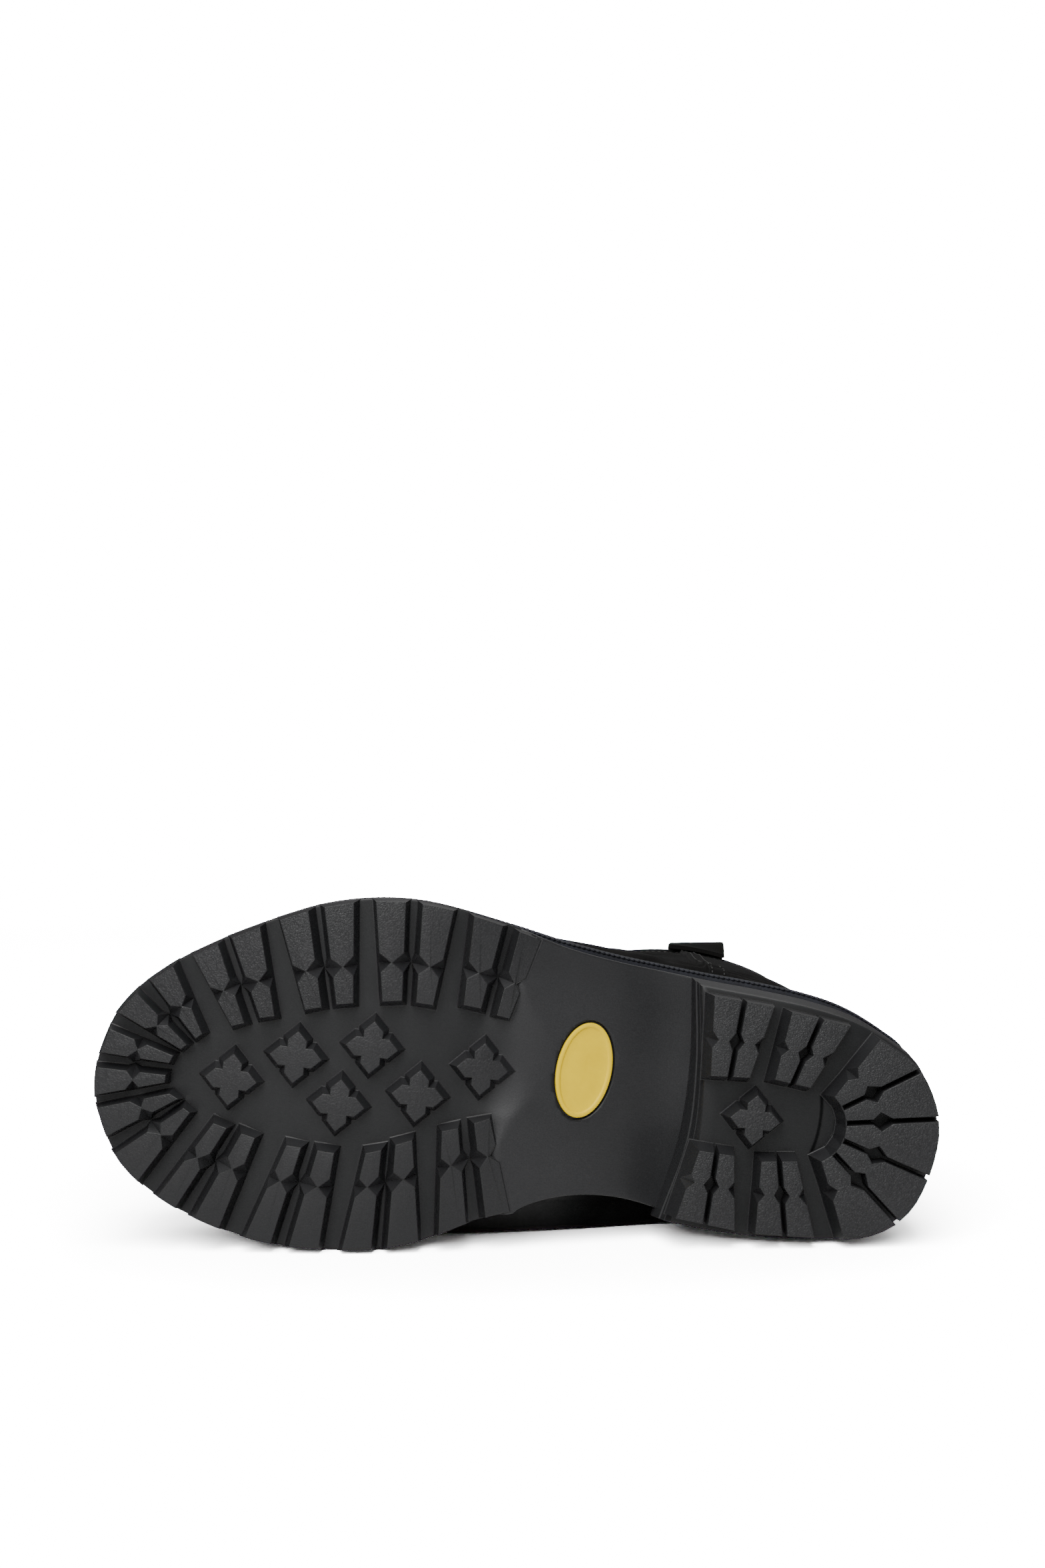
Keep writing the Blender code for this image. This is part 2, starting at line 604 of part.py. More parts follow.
def badge_frame(depth):
    """Place points of the badge's own plane on the sloping shank; depth runs up into the sole."""
    cx, cy = BADGE_CENTRE
    step = 10.0
    slope = (floor_height(cx + step) - floor_height(cx - step)) / (2 * step)
    tilt = math.atan(slope)
    turn = math.radians(BADGE_TURN)

    def place(u, v):
        along_x = u * math.cos(turn) - v * math.sin(turn)
        along_y = u * math.sin(turn) + v * math.cos(turn)
        return (cx + along_x * math.cos(tilt) - depth * math.sin(tilt), cy + along_y,
                floor_height(cx) + along_x * math.sin(tilt) + depth * math.cos(tilt))
    return place


def oval_rings(rows):
    """Rings of an oval solid on the shank: rows are (inset, depth)."""
    rings = []
    for cut, depth in rows:
        place = badge_frame(depth)
        rings.append([place(u, v) for u, v in oval(BADGE_LENGTH - 2 * cut, BADGE_WIDTH - 2 * cut)])
    return rings


def make_outsole(ctx):
    bm = bmesh.new()
    slab(bm, OUTLINE, 46, floor_height, lambda x: split_height(x) - GAP / 2, 1.0, 0.6)
    outsole = finish(ctx, "outsole", bm, RUBBER)

    tread = bmesh.new()
    forefoot_lugs(tread)
    forefoot_crosses(tread)
    add_boolean(outsole, make_tool(ctx, "forefoot_tread", tread), "UNION")

    block = bmesh.new()
    heel_block(block)
    add_boolean(outsole, make_tool(ctx, "heel_block", block), "UNION")

    heel = bmesh.new()
    side_blocks(heel)
    ring_lugs(heel)
    heel_cross(heel)
    add_boolean(outsole, make_tool(ctx, "heel_tread", heel), "UNION")

    recess = bmesh.new()
    loft(recess, oval_rings([(0.0, -4.0), (0.0, BADGE_DEPTH)]))
    add_boolean(outsole, make_tool(ctx, "badge_recess", recess), "DIFFERENCE")
    return outsole


def make_badge(ctx):
    bm = bmesh.new()
    lip = GAP + BADGE_LIP_WIDTH
    loft(bm, oval_rings([(GAP, BADGE_DEPTH - GAP), (GAP, BADGE_LIP_EDGE), (GAP + BADGE_LIP_EDGE, 0.0),
                         (lip, 0.0), (lip + BADGE_LIP, BADGE_LIP)]))
    return finish(ctx, "sole_badge", bm, YELLOW)


def make_midsole(ctx):
    bm = bmesh.new()
    slab(bm, OUTLINE, 46, lambda x: split_height(x) + GAP / 2, seat_height, 0.6, 0.0)
    return finish(ctx, "midsole", bm, MIDSOLE)


def even_ring(distance, count):
    """Evenly spaced points of the welt outline moved inwards."""
    line = inset(OUTLINE, distance)
    total = arc_lengths(line)[-1]
    return along(line, np.linspace(0, total, count, endpoint=False))


def make_welt(ctx):
    """Braided cord seat all round, as one plain ring; it leans out a little at mid height."""
    count = 96
    outer = even_ring(0.0, count)
    inner = even_ring(WELT_WIDTH, count)
    profile = [(0.08, 0.0), (0.0, 0.30), (0.0, 0.70), (0.10, 1.0), (0.92, 1.0), (1.0, 0.90), (1.0, 0.0)]
    bm = bmesh.new()
    sections = []
    for p, q in zip(outer, inner):
        section = []
        for u, v in profile:
            x, y = p + (q - p) * u
            section.append((x, y, seat_height(x) + GAP + WELT_HEIGHT * v))
        sections.append(section)
    loft(bm, sections, close_ends=False, close_rows=True)
    return finish(ctx, "welt_braid", bm, CORD)


# ---------------------------------------------------------------- upper

def table_curve(rows, key, value):
    ordered = sorted(rows, key=lambda row: getattr(row, key))
    curve = smooth_curve([(getattr(row, key), getattr(row, value)) for row in ordered], 8, closed=False)
    return lambda x: float(np.interp(x, curve[:, 0], curve[:, 1]))


crest_height = table_curve(CREST, "x", "height")
crest_y = table_curve(CREST, "x", "y")
shaft_front = table_curve(SHAFT, "level", "front")
shaft_widest = table_curve(SHAFT, "level", "widest")
bulge_outer = table_curve(BULGES, "x", "outer")
shaft_inner = table_curve(SHAFT, "level", "inner")
shaft_outer = table_curve(SHAFT, "level", "outer")


def ring_height(ring, x):
    """Height of one slice of the upper at x: it follows the seat low down and is level higher up."""
    follow = seat_height(x) + GAP + WELT_HEIGHT + ring.rise
    level = ring.level + COLLAR_TILT * (x - SHAFT_MIDDLE_X) * (ring.level / COLLAR_LEVEL) ** 4
    return follow * (1 - ring.share) + level * ring.share


def ring_front(ring):
    """x where a slice meets the crest line."""
    low, high = CREST[-1].x, CREST[0].x
    for _ in range(50):
        mid = (low + high) / 2
        if crest_height(mid) > ring_height(ring, mid):
            low = mid
        else:
            high = mid
    return (low + high) / 2


def soft_max(a, b, blend):
    return 0.5 * (a + b + math.sqrt((a - b) ** 2 + blend ** 2)) - blend * 0.25


def upper_edges(x, z, back):
    """Inner and outer y of the upper's outside at one x and height."""
    inner0, outer0 = side_edges(OUTLINE, max(x - back * max(0.0, 1 - x / 120.0), 0.01))
    low = seat_height(x) + GAP + WELT_HEIGHT
    if x > CREST[-1].x:
        top = crest_height(x)
    else:
        top = CREST[-1].height
    s = min(max((z - low) / (top - low), 0.0), 1.0)
    round_off = (1 - s ** CROSS_POWER) ** (1 / CROSS_POWER)
    middle = crest_y(x) if x > CREST[-1].x else SHAFT_MIDDLE_Y
    swell = ramp(z - low, SWELL_FROM, SWELL_TO)
    outer0 += bulge_outer(x) * swell - SWELL_LOW * (1 - swell)
    inner0 -= BULGE_INNER * swell - SWELL_LOW * (1 - swell)
    outer = middle + (outer0 - middle) * round_off
    inner = middle + (inner0 - middle) * round_off
    front = shaft_front(z)
    centre = shaft_widest(z)
    half = front - centre if x > centre else centre - back
    power = SHAFT_POWER if x > centre else BACK_POWER
    r = min(abs(x - centre) / half, 1.0)
    reach = (1 - r ** power) ** (1 / power)
    si, so = shaft_inner(z), shaft_outer(z)
    sy = (si + so) / 2
    weight = ramp(z, *FOOT_TO_SHAFT)
    high = ramp(z, *FOOT_FADES)
    outer_foot = outer * (1 - high) + sy * high
    inner_foot = inner * (1 - high) + sy * high
    outer_both = soft_max(sy + (so - sy) * reach, outer_foot, BLEND)
    inner_both = -soft_max(-(sy + (si - sy) * reach), -inner_foot, BLEND)
    outer = outer * (1 - weight) + outer_both * weight
    inner = inner * (1 - weight) + inner_both * weight
    return inner, outer


def upper_columns():
    """Standing x of each column at the seat, heel to toe, with the seam strip's edges among them."""
    rear = [1.2, 4.5, 9.5, 16.5, 26.0, 38.0, 50.0, 61.0]
    strip = [SEAM_X[0] - SEAM_EDGE, SEAM_X[0], SEAM_X[1], SEAM_X[1] + SEAM_EDGE]
    fore = [91.0, PLAIN_TO, 120.0, 137.0, 154.0, 171.0, 188.0, 205.0, 221.0, 236.0, 249.0, 260.5,
            270.5, 279.0, 286.0, 291.2, 295.0, 297.6, 299.2]
    return rear + strip + fore


def upper_rings():
    base = inset(OUTLINE, UPPER_INSET)
    low, high = base[:, 0].min(), base[:, 0].max()
    columns = upper_columns()
    rings = []
    for rise in (0.0, WELT_HEIGHT + OVER_WELT):
        outer, inner = [], []
        for x0 in columns:
            x = low + (high - low) * x0 / COLUMN_SPAN
            yi, yo = side_edges(base, x)
            z = seat_height(x) + GAP + rise
            outer.append((x, yo, z))
            inner.append((x, yi, z))
        tips = [(end, side_edges(base, end)[0], seat_height(end) + GAP + rise) for end in (low, high)]
        rings.append([tips[0]] + outer + [tips[1]] + inner[::-1])
    for ring in UPPER_RINGS:
        rings.append(upper_slice(ring, columns))
    return rings


def upper_slice(ring, columns):
    front = ring_front(ring)
    outer, inner = [], []
    for x0 in columns:
        middle = PLAIN_TO - LEAN * ramp(ring.level, 50.0, COLLAR_LEVEL)
        if x0 <= PLAIN_TO:
            x = ring.back + x0 * (middle - ring.back) / PLAIN_TO
        else:
            x = middle + (front - middle) * (x0 - PLAIN_TO) / (COLUMN_SPAN - PLAIN_TO)
        z = ring_height(ring, x)
        yi, yo = upper_edges(x, z, ring.back)
        if SEAM_X[0] - 0.1 <= x0 <= SEAM_X[1] + 0.1:
            yo += SEAM_STEP
        outer.append((x, yo, z))
        inner.append((x, yi, z))
    back_y = (inner[0][1] + outer[0][1]) / 2
    back = (ring.back, back_y, ring_height(ring, ring.back))
    toe = (front, crest_y(front), ring_height(ring, front))
    return [back] + outer + [toe] + inner[::-1]


def make_upper(ctx):
    bm = bmesh.new()
    loft(bm, upper_rings(), close_ends=False)
    upper = finish(ctx, "upper", bm, SUEDE)
    wall = upper.modifiers.new("wall", "SOLIDIFY")
    wall.thickness = UPPER_WALL * MM
    wall.offset = -1.0
    wall.use_even_offset = True
    return upper


def make_insole(ctx):
    bm = bmesh.new()
    edge = inset(OUTLINE, UPPER_INSET + UPPER_WALL + INSOLE_GAP)
    slab(bm, edge, 30, lambda x: seat_height(x) + GAP, lambda x: seat_height(x) + GAP + INSOLE_THICK)
    return finish(ctx, "insole", bm, LINING)


def make_pull_loop(ctx):
    """Webbing loop on the outer side: up the outside, over the collar's edge and down inside."""
    columns = np.linspace(LOOP_X[0], LOOP_X[1], 6)
    collar = UPPER_RINGS[-1].back

    def wall(x, z):
        return upper_edges(x, min(z, COLLAR_LEVEL), collar)[1]

    def path(x):
        """Inner line of the strap at x: next to the wall at both ends, free between them."""
        up = LOOP_LEVELS
        edge = wall(x, 190.0)
        low = SEAM_STEP + LOOP_CLEAR
        free = max(LOOP_FLAT, edge + low + 0.6)
        inside = edge - UPPER_WALL - LOOP_INSIDE
        lining = UPPER_WALL + LOOP_INSIDE + 0.2
        reach = [wall(x, up[0]) + low, wall(x, up[1]) + low + 0.3,
                 max(free - 0.8, wall(x, up[2]) + low + 0.4), free, free - 0.8, edge + 1.2,
                 edge - 1.8, inside + 0.3, inside - 0.5, wall(x, up[9]) - lining, wall(x, up[10]) - lining]
        return list(zip(reach, up))

    bm = bmesh.new()
    rings = []
    for x in columns:
        line = np.array(path(x))
        tangent = np.gradient(line, axis=0)
        tangent /= np.linalg.norm(tangent, axis=1)[:, None]
        normal = np.column_stack([tangent[:, 1], -tangent[:, 0]])
        shell = line + normal * LOOP_THICK
        rings.append([(x, y, z) for y, z in line] + [(x, y, z) for y, z in shell[::-1]])
    loft(bm, rings)
    return finish(ctx, "pull_loop", bm, SUEDE)


# ================================================================ scene

def clear_scene():
    for obj in list(bpy.data.objects):
        bpy.data.objects.remove(obj, do_unlink=True)


def make_context():
    scene = bpy.context.scene
    parts = bpy.data.collections.new(OBJECT_NAME)
    tools = bpy.data.collections.new("cutters")
    scene.collection.children.link(parts)
    scene.collection.children.link(tools)
    rest = bpy.data.objects.new("boot_rest", None)
    rest.rotation_euler = (math.radians(90 + REST_ROLL), math.radians(REST_PITCH), math.radians(180))
    rest.location = (TOE_TIP.x / 2 * MM, REST_BACK * MM, REST_DROP * MM)
    parts.objects.link(rest)
    return {"parts": parts, "tools": tools, "rest": rest}


def main():
    clear_scene()
    ctx = make_context()
    make_outsole(ctx)
    make_badge(ctx)
    make_midsole(ctx)
    make_welt(ctx)
    make_upper(ctx)
    make_insole(ctx)
    make_pull_loop(ctx)


main()
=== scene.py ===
"""Looks of a left ankle boot that lies on its inner side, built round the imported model.

Shapes are worked out in the boot's own standing frame, in millimetres: x runs from the heel's back to the
toe, y from the inner to the outer side, z from the ground up. Lie turns that frame into the row's metres.
"""

import logging
import math
from collections.abc import Callable
from dataclasses import dataclass, field, fields
from enum import Enum

import bmesh
import bpy
import numpy as np
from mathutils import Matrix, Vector


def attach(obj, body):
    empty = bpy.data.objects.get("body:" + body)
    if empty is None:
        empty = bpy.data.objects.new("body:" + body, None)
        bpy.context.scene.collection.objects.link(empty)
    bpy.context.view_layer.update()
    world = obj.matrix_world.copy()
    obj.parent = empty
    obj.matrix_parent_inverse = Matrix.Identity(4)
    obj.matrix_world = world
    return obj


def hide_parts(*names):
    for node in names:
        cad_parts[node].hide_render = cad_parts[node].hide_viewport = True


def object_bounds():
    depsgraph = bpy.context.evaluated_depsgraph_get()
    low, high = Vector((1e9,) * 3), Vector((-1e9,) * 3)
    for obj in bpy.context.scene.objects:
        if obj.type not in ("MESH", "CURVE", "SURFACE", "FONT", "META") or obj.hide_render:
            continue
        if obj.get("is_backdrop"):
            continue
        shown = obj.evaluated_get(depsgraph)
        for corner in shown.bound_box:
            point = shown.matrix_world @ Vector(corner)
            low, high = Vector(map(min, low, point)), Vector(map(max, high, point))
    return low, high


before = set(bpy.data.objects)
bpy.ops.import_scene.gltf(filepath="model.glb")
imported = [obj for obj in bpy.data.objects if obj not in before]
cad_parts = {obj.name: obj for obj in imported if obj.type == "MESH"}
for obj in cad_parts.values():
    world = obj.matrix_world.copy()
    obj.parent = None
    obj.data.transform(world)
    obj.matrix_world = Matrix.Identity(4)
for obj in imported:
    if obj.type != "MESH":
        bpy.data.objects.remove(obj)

MM = 0.001
TINY = 1e-6  # shortest length that still has a direction
CLEAR = 0.3  # gap between pieces that touch
WELT = 6.5  # height of the welt
LOG = logging.getLogger("boot")
Array = np.ndarray
Arrays = tuple[np.ndarray, np.ndarray]
Pair = tuple[float, float]
Row = tuple[float, ...]
Height = Callable[[Array], Array]  # height at places (x, y) in the last axis


class Side(Enum):
    """Side of the foot."""

    OUTER = 1
    INNER = -1


# ==== curves and fields

def smooth_curve(knots: Array, per_span: int, closed: bool = False) -> Array:
    """Centripetal cubic through the knots: blends of blends of the four knots round each span.

    Args:
        knots: points, one a row.
        per_span: samples between each two knots.
        closed: whether the last knot joins the first.

    Returns:
        The samples, one a row.
    """
    pts = np.asarray(knots, float)
    if closed:
        ext = np.vstack([pts[-1:], pts, pts[:2]])
    else:
        ext = np.vstack([2 * pts[:1] - pts[1:2], pts, 2 * pts[-1:] - pts[-2:-1]])
    spans = len(ext) - 3
    p = [ext[k:k + spans, None, :] for k in range(4)]
    gap = [np.linalg.norm(p[k + 1] - p[k], axis=2, keepdims=True) ** 0.5 for k in range(3)]
    t = [np.zeros_like(gap[0]), gap[0], gap[0] + gap[1], gap[0] + gap[1] + gap[2]]
    u = t[1] + gap[1] * np.linspace(0, 1, per_span, endpoint=False)[None, :, None]

    def blend(low: Array, high: Array, start: Array, end: Array) -> Array:
        """Straight blend of two points over a stretch of the parameter."""
        return ((end - u) * low + (u - start) * high) / (end - start)

    a = [blend(p[k], p[k + 1], t[k], t[k + 1]) for k in range(3)]
    b = [blend(a[k], a[k + 1], t[k], t[k + 2]) for k in range(2)]
    curve = blend(b[0], b[1], t[1], t[2]).reshape(-1, pts.shape[1])
    return curve if closed else np.vstack([curve, pts[-1:]])


def ramp(x: Array, low: float, high: float) -> Array:
    """Smooth step from 0 at low to 1 at high: 3 t squared less 2 t cubed."""
    t = np.clip((np.asarray(x, float) - low) / (high - low), 0.0, 1.0)
    return t * t * (3 - 2 * t)


def bell(x: Array, centre: float, width: float) -> Array:
    """Bell curve: e to the minus square of the distance in widths."""
    return np.exp(-((np.asarray(x, float) - centre) / width) ** 2)


def unit(vectors: Array) -> Array:
    """Vectors in the last axis, each over its length; those without length stay 0."""
    return vectors / np.maximum(np.linalg.norm(vectors, axis=-1, keepdims=True), TINY)


def at_height(ring: Array, z: Array | float) -> Array:
    """Places of a plane ring with their heights as a third column."""
    return np.column_stack([ring, np.broadcast_to(z, len(ring))])


def travelled(points: Array) -> Array:
    """Length along a line of points up to each of them."""
    return np.concatenate([[0.0], np.cumsum(np.linalg.norm(np.diff(points, axis=0), axis=1))])


def placed(at: Array, known: Array, points: Array) -> Array:
    """Places on a line of points, each of whose points has a known number, at other numbers."""
    return np.stack([np.interp(at, known, column) for column in points.T], axis=-1)


def flat_at(z: float) -> Height:
    """A level surface."""
    return lambda places: np.full(places.shape[:-1], z)


def ripple(points: Array, shortest: float, longest: float, waves: int, seed: int) -> Array:
    """Even roughness from about -1 to 1: a sum of sine waves in seeded directions.

    Args:
        points: places in millimetres, the last axis of length 3.
        shortest: shortest wavelength.
        longest: longest wavelength.
        waves: number of waves.
        seed: seed of the draw.

    Returns:
        One value for each place.
    """
    draw = np.random.default_rng(seed)
    ways = unit(draw.normal(size=(waves, 3)))
    lengths = draw.uniform(shortest, longest, waves)
    phases = draw.uniform(0, 2 * math.pi, waves)
    total = np.sin(points @ (ways / lengths[:, None]).T * 2 * math.pi + phases).sum(axis=-1)
    return total / math.sqrt(waves)


@dataclass(frozen=True)
class Table:
    """A smooth curve of one value against another, through the rows of a short table."""

    keys: Row
    values: Row

    def __call__(self, x: Array) -> Array:
        """Value at x, held past both ends."""
        curve = smooth_curve(np.column_stack([self.keys, self.values]), 8)
        return np.interp(x, curve[:, 0], curve[:, 1])

    @staticmethod
    def of(rows: tuple[Row, ...], value: int) -> "Table":
        """One column of a table of rows against its first column."""
        return Table(tuple(row[0] for row in rows), tuple(row[value] for row in rows))


@dataclass(frozen=True)
class Outline:
    """A closed line round the foot, from the heel's back over the outer side."""

    points: Array

    def normals(self) -> Array:
        """Unit vectors that point inwards: the tangent turned by a right angle."""
        tangent = unit(np.roll(self.points, -1, axis=0) - np.roll(self.points, 1, axis=0))
        return np.column_stack([tangent[:, 1], -tangent[:, 0]])

    def inset(self, distance: float) -> "Outline":
        """The line moved inwards along its normals."""
        return Outline(self.points + distance * self.normals())

    def arcs(self) -> Array:
        """Length along the line at each point, and at the first point again."""
        return travelled(np.vstack([self.points, self.points[:1]]))

    def along(self, arcs: Array) -> Array:
        """Points at the given lengths along the line, which go round again past its end."""
        total = self.arcs()
        return placed(np.mod(arcs, total[-1]), total, np.vstack([self.points, self.points[:1]]))

    def halves(self) -> Arrays:
        """Outer and inner side, both from the heel to the toe."""
        heel = int(np.argmin(self.points[:, 0]))
        turned = np.roll(self.points, -heel, axis=0)
        toe = int(np.argmax(turned[:, 0]))
        inner = np.vstack([turned[toe:], turned[:1]])[::-1]
        return turned[:toe + 1], inner

    def edges(self, x: Array) -> Arrays:
        """Inner and outer y at each x."""
        outer, inner = self.halves()
        return np.interp(x, inner[:, 0], inner[:, 1]), np.interp(x, outer[:, 0], outer[:, 1])

    def ring(self, count: int) -> Array:
        """The line again with count points of the same x on both sides, closer together at both tips.

        Args:
            count: points on each side between the tips.

        Returns:
            Places round the foot.
        """
        low, high = self.points[:, 0].min(), self.points[:, 0].max()
        x = low + (high - low) * (1 - np.cos(np.linspace(0, math.pi, count + 2))) / 2
        inner, outer = self.edges(x)
        return np.vstack([np.column_stack([x, outer]), np.column_stack([x, inner])[-2:0:-1]])


@dataclass(frozen=True)
class Section:
    """A place along the foot: the welt's y on both sides, and the heights of walking face and seat."""

    x: float
    inner: float
    outer: float
    face: float
    seat: float


@dataclass(frozen=True)
class Last:
    """The form that sole and upper share: the welt's outline and the heights along the foot."""

    sections: tuple[Section, ...] = (
        Section(0.0, 42.0, 42.0, 22.0, 41.0),
        Section(7, 16.8, 63.6, 22.0, 40.8),
        Section(16, 6.0, 71.4, 22.0, 40.4),
        Section(30, 0.0, 79.8, 22.0, 39.8),
        Section(46, -0.5, 85.3, 22.0, 39.0),
        Section(64, 0.0, 89.4, 22.0, 37.6),
        Section(82, 2.1, 92.9, 22.0, 35.6),
        Section(99, 6.0, 96.6, 21.0, 32.6),
        Section(116, 10.4, 100.6, 15.4, 28.4),
        Section(134, 12.8, 105.9, 9.6, 23.8),
        Section(152, 12.6, 113.2, 4.9, 20.2),
        Section(169, 9.2, 119.2, 2.0, 17.9),
        Section(187, 3.0, 123.6, 0.3, 16.4),
        Section(204, 0.0, 124.6, 0.0, 16.0),
        Section(222, 0.1, 122.6, 0.9, 16.6),
        Section(242, 2.2, 116.6, 2.8, 18.8),
        Section(262, 8.2, 108.6, 5.4, 21.9),
        Section(279, 16.6, 99.8, 8.1, 25.0),
        Section(292, 26.6, 89.5, 10.5, 27.6),
        Section(299, 36.5, 79.0, 12.0, 29.0),
        Section(304.7, 58.0, 58.0, 13.2, 30.0),
    )
    lug_depth: float = 6.5
    shank_step: float = 0.4
    base_ramp: Pair = (140.0, 172.0)
    flush_outer: tuple[Pair, ...] = ((156.1, 81.4), (144.5, 109.0))
    flush_inner: tuple[Pair, ...] = ((163.2, 46.4), (156.2, 13.3))
    flush_start: float = 1.3
    flush_reach: float = 4.8
    bow: float = 23.0
    bow_reach: float = 32.0
    bow_margin: float = 14.0
    base: float = 5.0
    base_more: float = 6.0
    tuck_at: Pair = (76.0, 24.0)
    tuck_depth: float = 1.2
    waist: Pair = (92.0, 155.0)
    waist_undercut: float = 5.0

    def column(self, name: str) -> Table:
        """One column of the table against x."""
        return Table(tuple(s.x for s in self.sections), tuple(getattr(s, name) for s in self.sections))

    def outline(self) -> Outline:
        """The welt's edge: a closed smooth curve through both edges of every section."""
        outer = [(s.x, s.outer) for s in self.sections]
        inner = [(s.x, s.inner) for s in self.sections[-2:0:-1]]
        return Outline(smooth_curve(np.array(outer + inner), 12, closed=True))

    def face(self, x: Array) -> Array:
        """Height of the walking face."""
        return self.column("face")(x)

    def seat(self, x: Array) -> Array:
        """Height that the upper sits on."""
        return self.column("seat")(x)

    def bed(self, x: Array) -> Array:
        """Height at which the pieces over the sole start."""
        return self.seat(x) + CLEAR

    def floor(self, places: Array) -> Array:
        """Underside of the base: the floor between the lugs, which comes down to the shank behind them.

        The step lies just behind the last two lugs' straight sides, and is a soft sine bow between them.

        Args:
            places: x and y in the last axis.

        Returns:
            Height of the underside at each place.
        """
        x, y = places[..., 0], places[..., 1]
        (xo, yo), (xo2, yo2) = self.flush_outer
        (xi, yi), (xi2, yi2) = self.flush_inner
        outer = xo + (np.maximum(y, yo) - yo) * (xo2 - xo) / (yo2 - yo)
        inner = xi + (np.minimum(y, yi) - yi) * (xi2 - xi) / (yi2 - yi)
        share = np.clip((y - yi) / (yo - yi), 0.0, 1.0)
        wide = np.clip((y - yi + self.bow_margin) / (yo - yi + 2 * self.bow_margin), 0.0, 1.0)
        bow = np.sin(math.pi * wide) ** 1.5
        start = inner + (outer - inner) * share + self.flush_start - self.bow * bow
        rise = ramp((x - start) / (self.flush_reach + self.bow_reach * bow), 0.0, 1.0)
        return self.face(x) + self.shank_step + (self.lug_depth - self.shank_step) * rise

    def tread(self, places: Array) -> Array:
        """Height of the walking face at places."""
        return self.face(places[..., 0])

    def split(self, x: Array) -> Array:
        """Joint between outsole and midsole."""
        return self.face(x) + self.base + self.base_more * ramp(x, *self.base_ramp)

    def tuck(self, ring: Array) -> Array:
        """How far the inner side stands back by the front of the heel."""
        return self.tuck_depth * bell(ring[:, 0], *self.tuck_at) * (1 - ramp(ring[:, 1], 12.0, 30.0))

    def undercut(self, x: Array) -> Array:
        """How far the arch side of the sole stands back: a half sine wave to the power 0.6."""
        t = np.clip((np.asarray(x, float) - self.waist[0]) / (self.waist[1] - self.waist[0]), 0.0, 1.0)
        return self.waist_undercut * np.sin(math.pi * t) ** 0.6


@dataclass(frozen=True)
class Lie:
    """How the boot lies in the row's frame, as its solids do."""

    roll: float = 0.57
    pitch: float = 0.18
    shift: tuple[float, float, float] = (152.35, -103.24, 1.16)

    def matrix(self) -> Array:
        """Turn about x, then y, then half a turn about z."""
        r, p = math.radians(90 + self.roll), math.radians(self.pitch)
        about_x = np.array([[1, 0, 0], [0, math.cos(r), -math.sin(r)], [0, math.sin(r), math.cos(r)]])
        about_y = np.array([[math.cos(p), 0, math.sin(p)], [0, 1, 0], [-math.sin(p), 0, math.cos(p)]])
        return np.diag([-1.0, -1.0, 1.0]) @ about_y @ about_x

    def to_world(self, points: Array) -> Array:
        """Boot millimetres to the row's metres."""
        return (points @ self.matrix().T + np.array(self.shift)) * MM


LAST = Last()
LIE = Lie()
OUTLINE = LAST.outline()


# ==== meshes

@dataclass
class Patch:
    """A stretch of mesh: points in boot millimetres, faces, and how grained each point is; on rubber, points
    marked 0 also get the painted hollow shade.
    """

    points: Array
    faces: list[Array]
    grain: Array | None = None

    def grained(self) -> Array:
        """Grain of every point, 0 where none was given."""
        return np.zeros(len(self.points)) if self.grain is None else self.grain


def grid_faces(rows: int, cols: int, wrap_rows: bool = False) -> Array:
    """Quads of a grid of points that is numbered row by row, each row a closed loop.

    Args:
        rows: rows of points.
        cols: points in each row.
        wrap_rows: whether the last row joins the first.

    Returns:
        Point numbers, one quad a row.
    """
    r = np.arange(rows if wrap_rows else rows - 1)[:, None]
    c = np.arange(cols)[None, :]
    after_r, after_c = (r + 1) % rows, (c + 1) % cols
    corners = [r * cols + c, r * cols + after_c, after_r * cols + after_c, after_r * cols + c]
    return np.stack([np.broadcast_to(k, corners[2].shape) for k in corners], axis=-1).reshape(-1, 4)


def grid_patch(points: Array, wrap_rows: bool = False, grain: Array | None = None) -> Patch:
    """A patch from a grid of closed loops.

    Args:
        points: rows by columns by 3.
        wrap_rows: whether the last loop joins the first.
        grain: how grained each point is, rows by columns.

    Returns:
        The patch.
    """
    flat = None if grain is None else np.asarray(grain, float).reshape(-1)
    return Patch(points.reshape(-1, 3), [grid_faces(*points.shape[:2], wrap_rows)], flat)


def capped(loops: Array) -> Patch:
    """A patch from a grid of closed loops whose two ends are drawn together to their middles."""
    ends = [end.mean(axis=1, keepdims=True).repeat(loops.shape[1], 1) for end in (loops[:1], loops[-1:])]
    return grid_patch(np.concatenate([ends[0], loops, ends[1]]))


def copied(faces: list[Array], count: int, points: int) -> list[Array]:
    """Faces of count copies of a shape that has so many points."""
    offsets = (np.arange(count) * points)[:, None, None]
    return [(f[None] + offsets).reshape(-1, f.shape[1]) for f in faces]


def repeat_shape(shape: Patch, places: Array, frames: Array) -> Patch:
    """Copies of one small shape: its own three axes times each place's frame, plus the place.

    Args:
        shape: the small shape, about its own origin.
        places: one place for each copy.
        frames: for each copy three vectors, for the shape's x, y and z.

    Returns:
        All copies as one patch.
    """
    points = np.einsum("vk,nkj->nvj", shape.points, frames) + places[:, None, :]
    return Patch(points.reshape(-1, 3), copied(shape.faces, *points.shape[:2]))


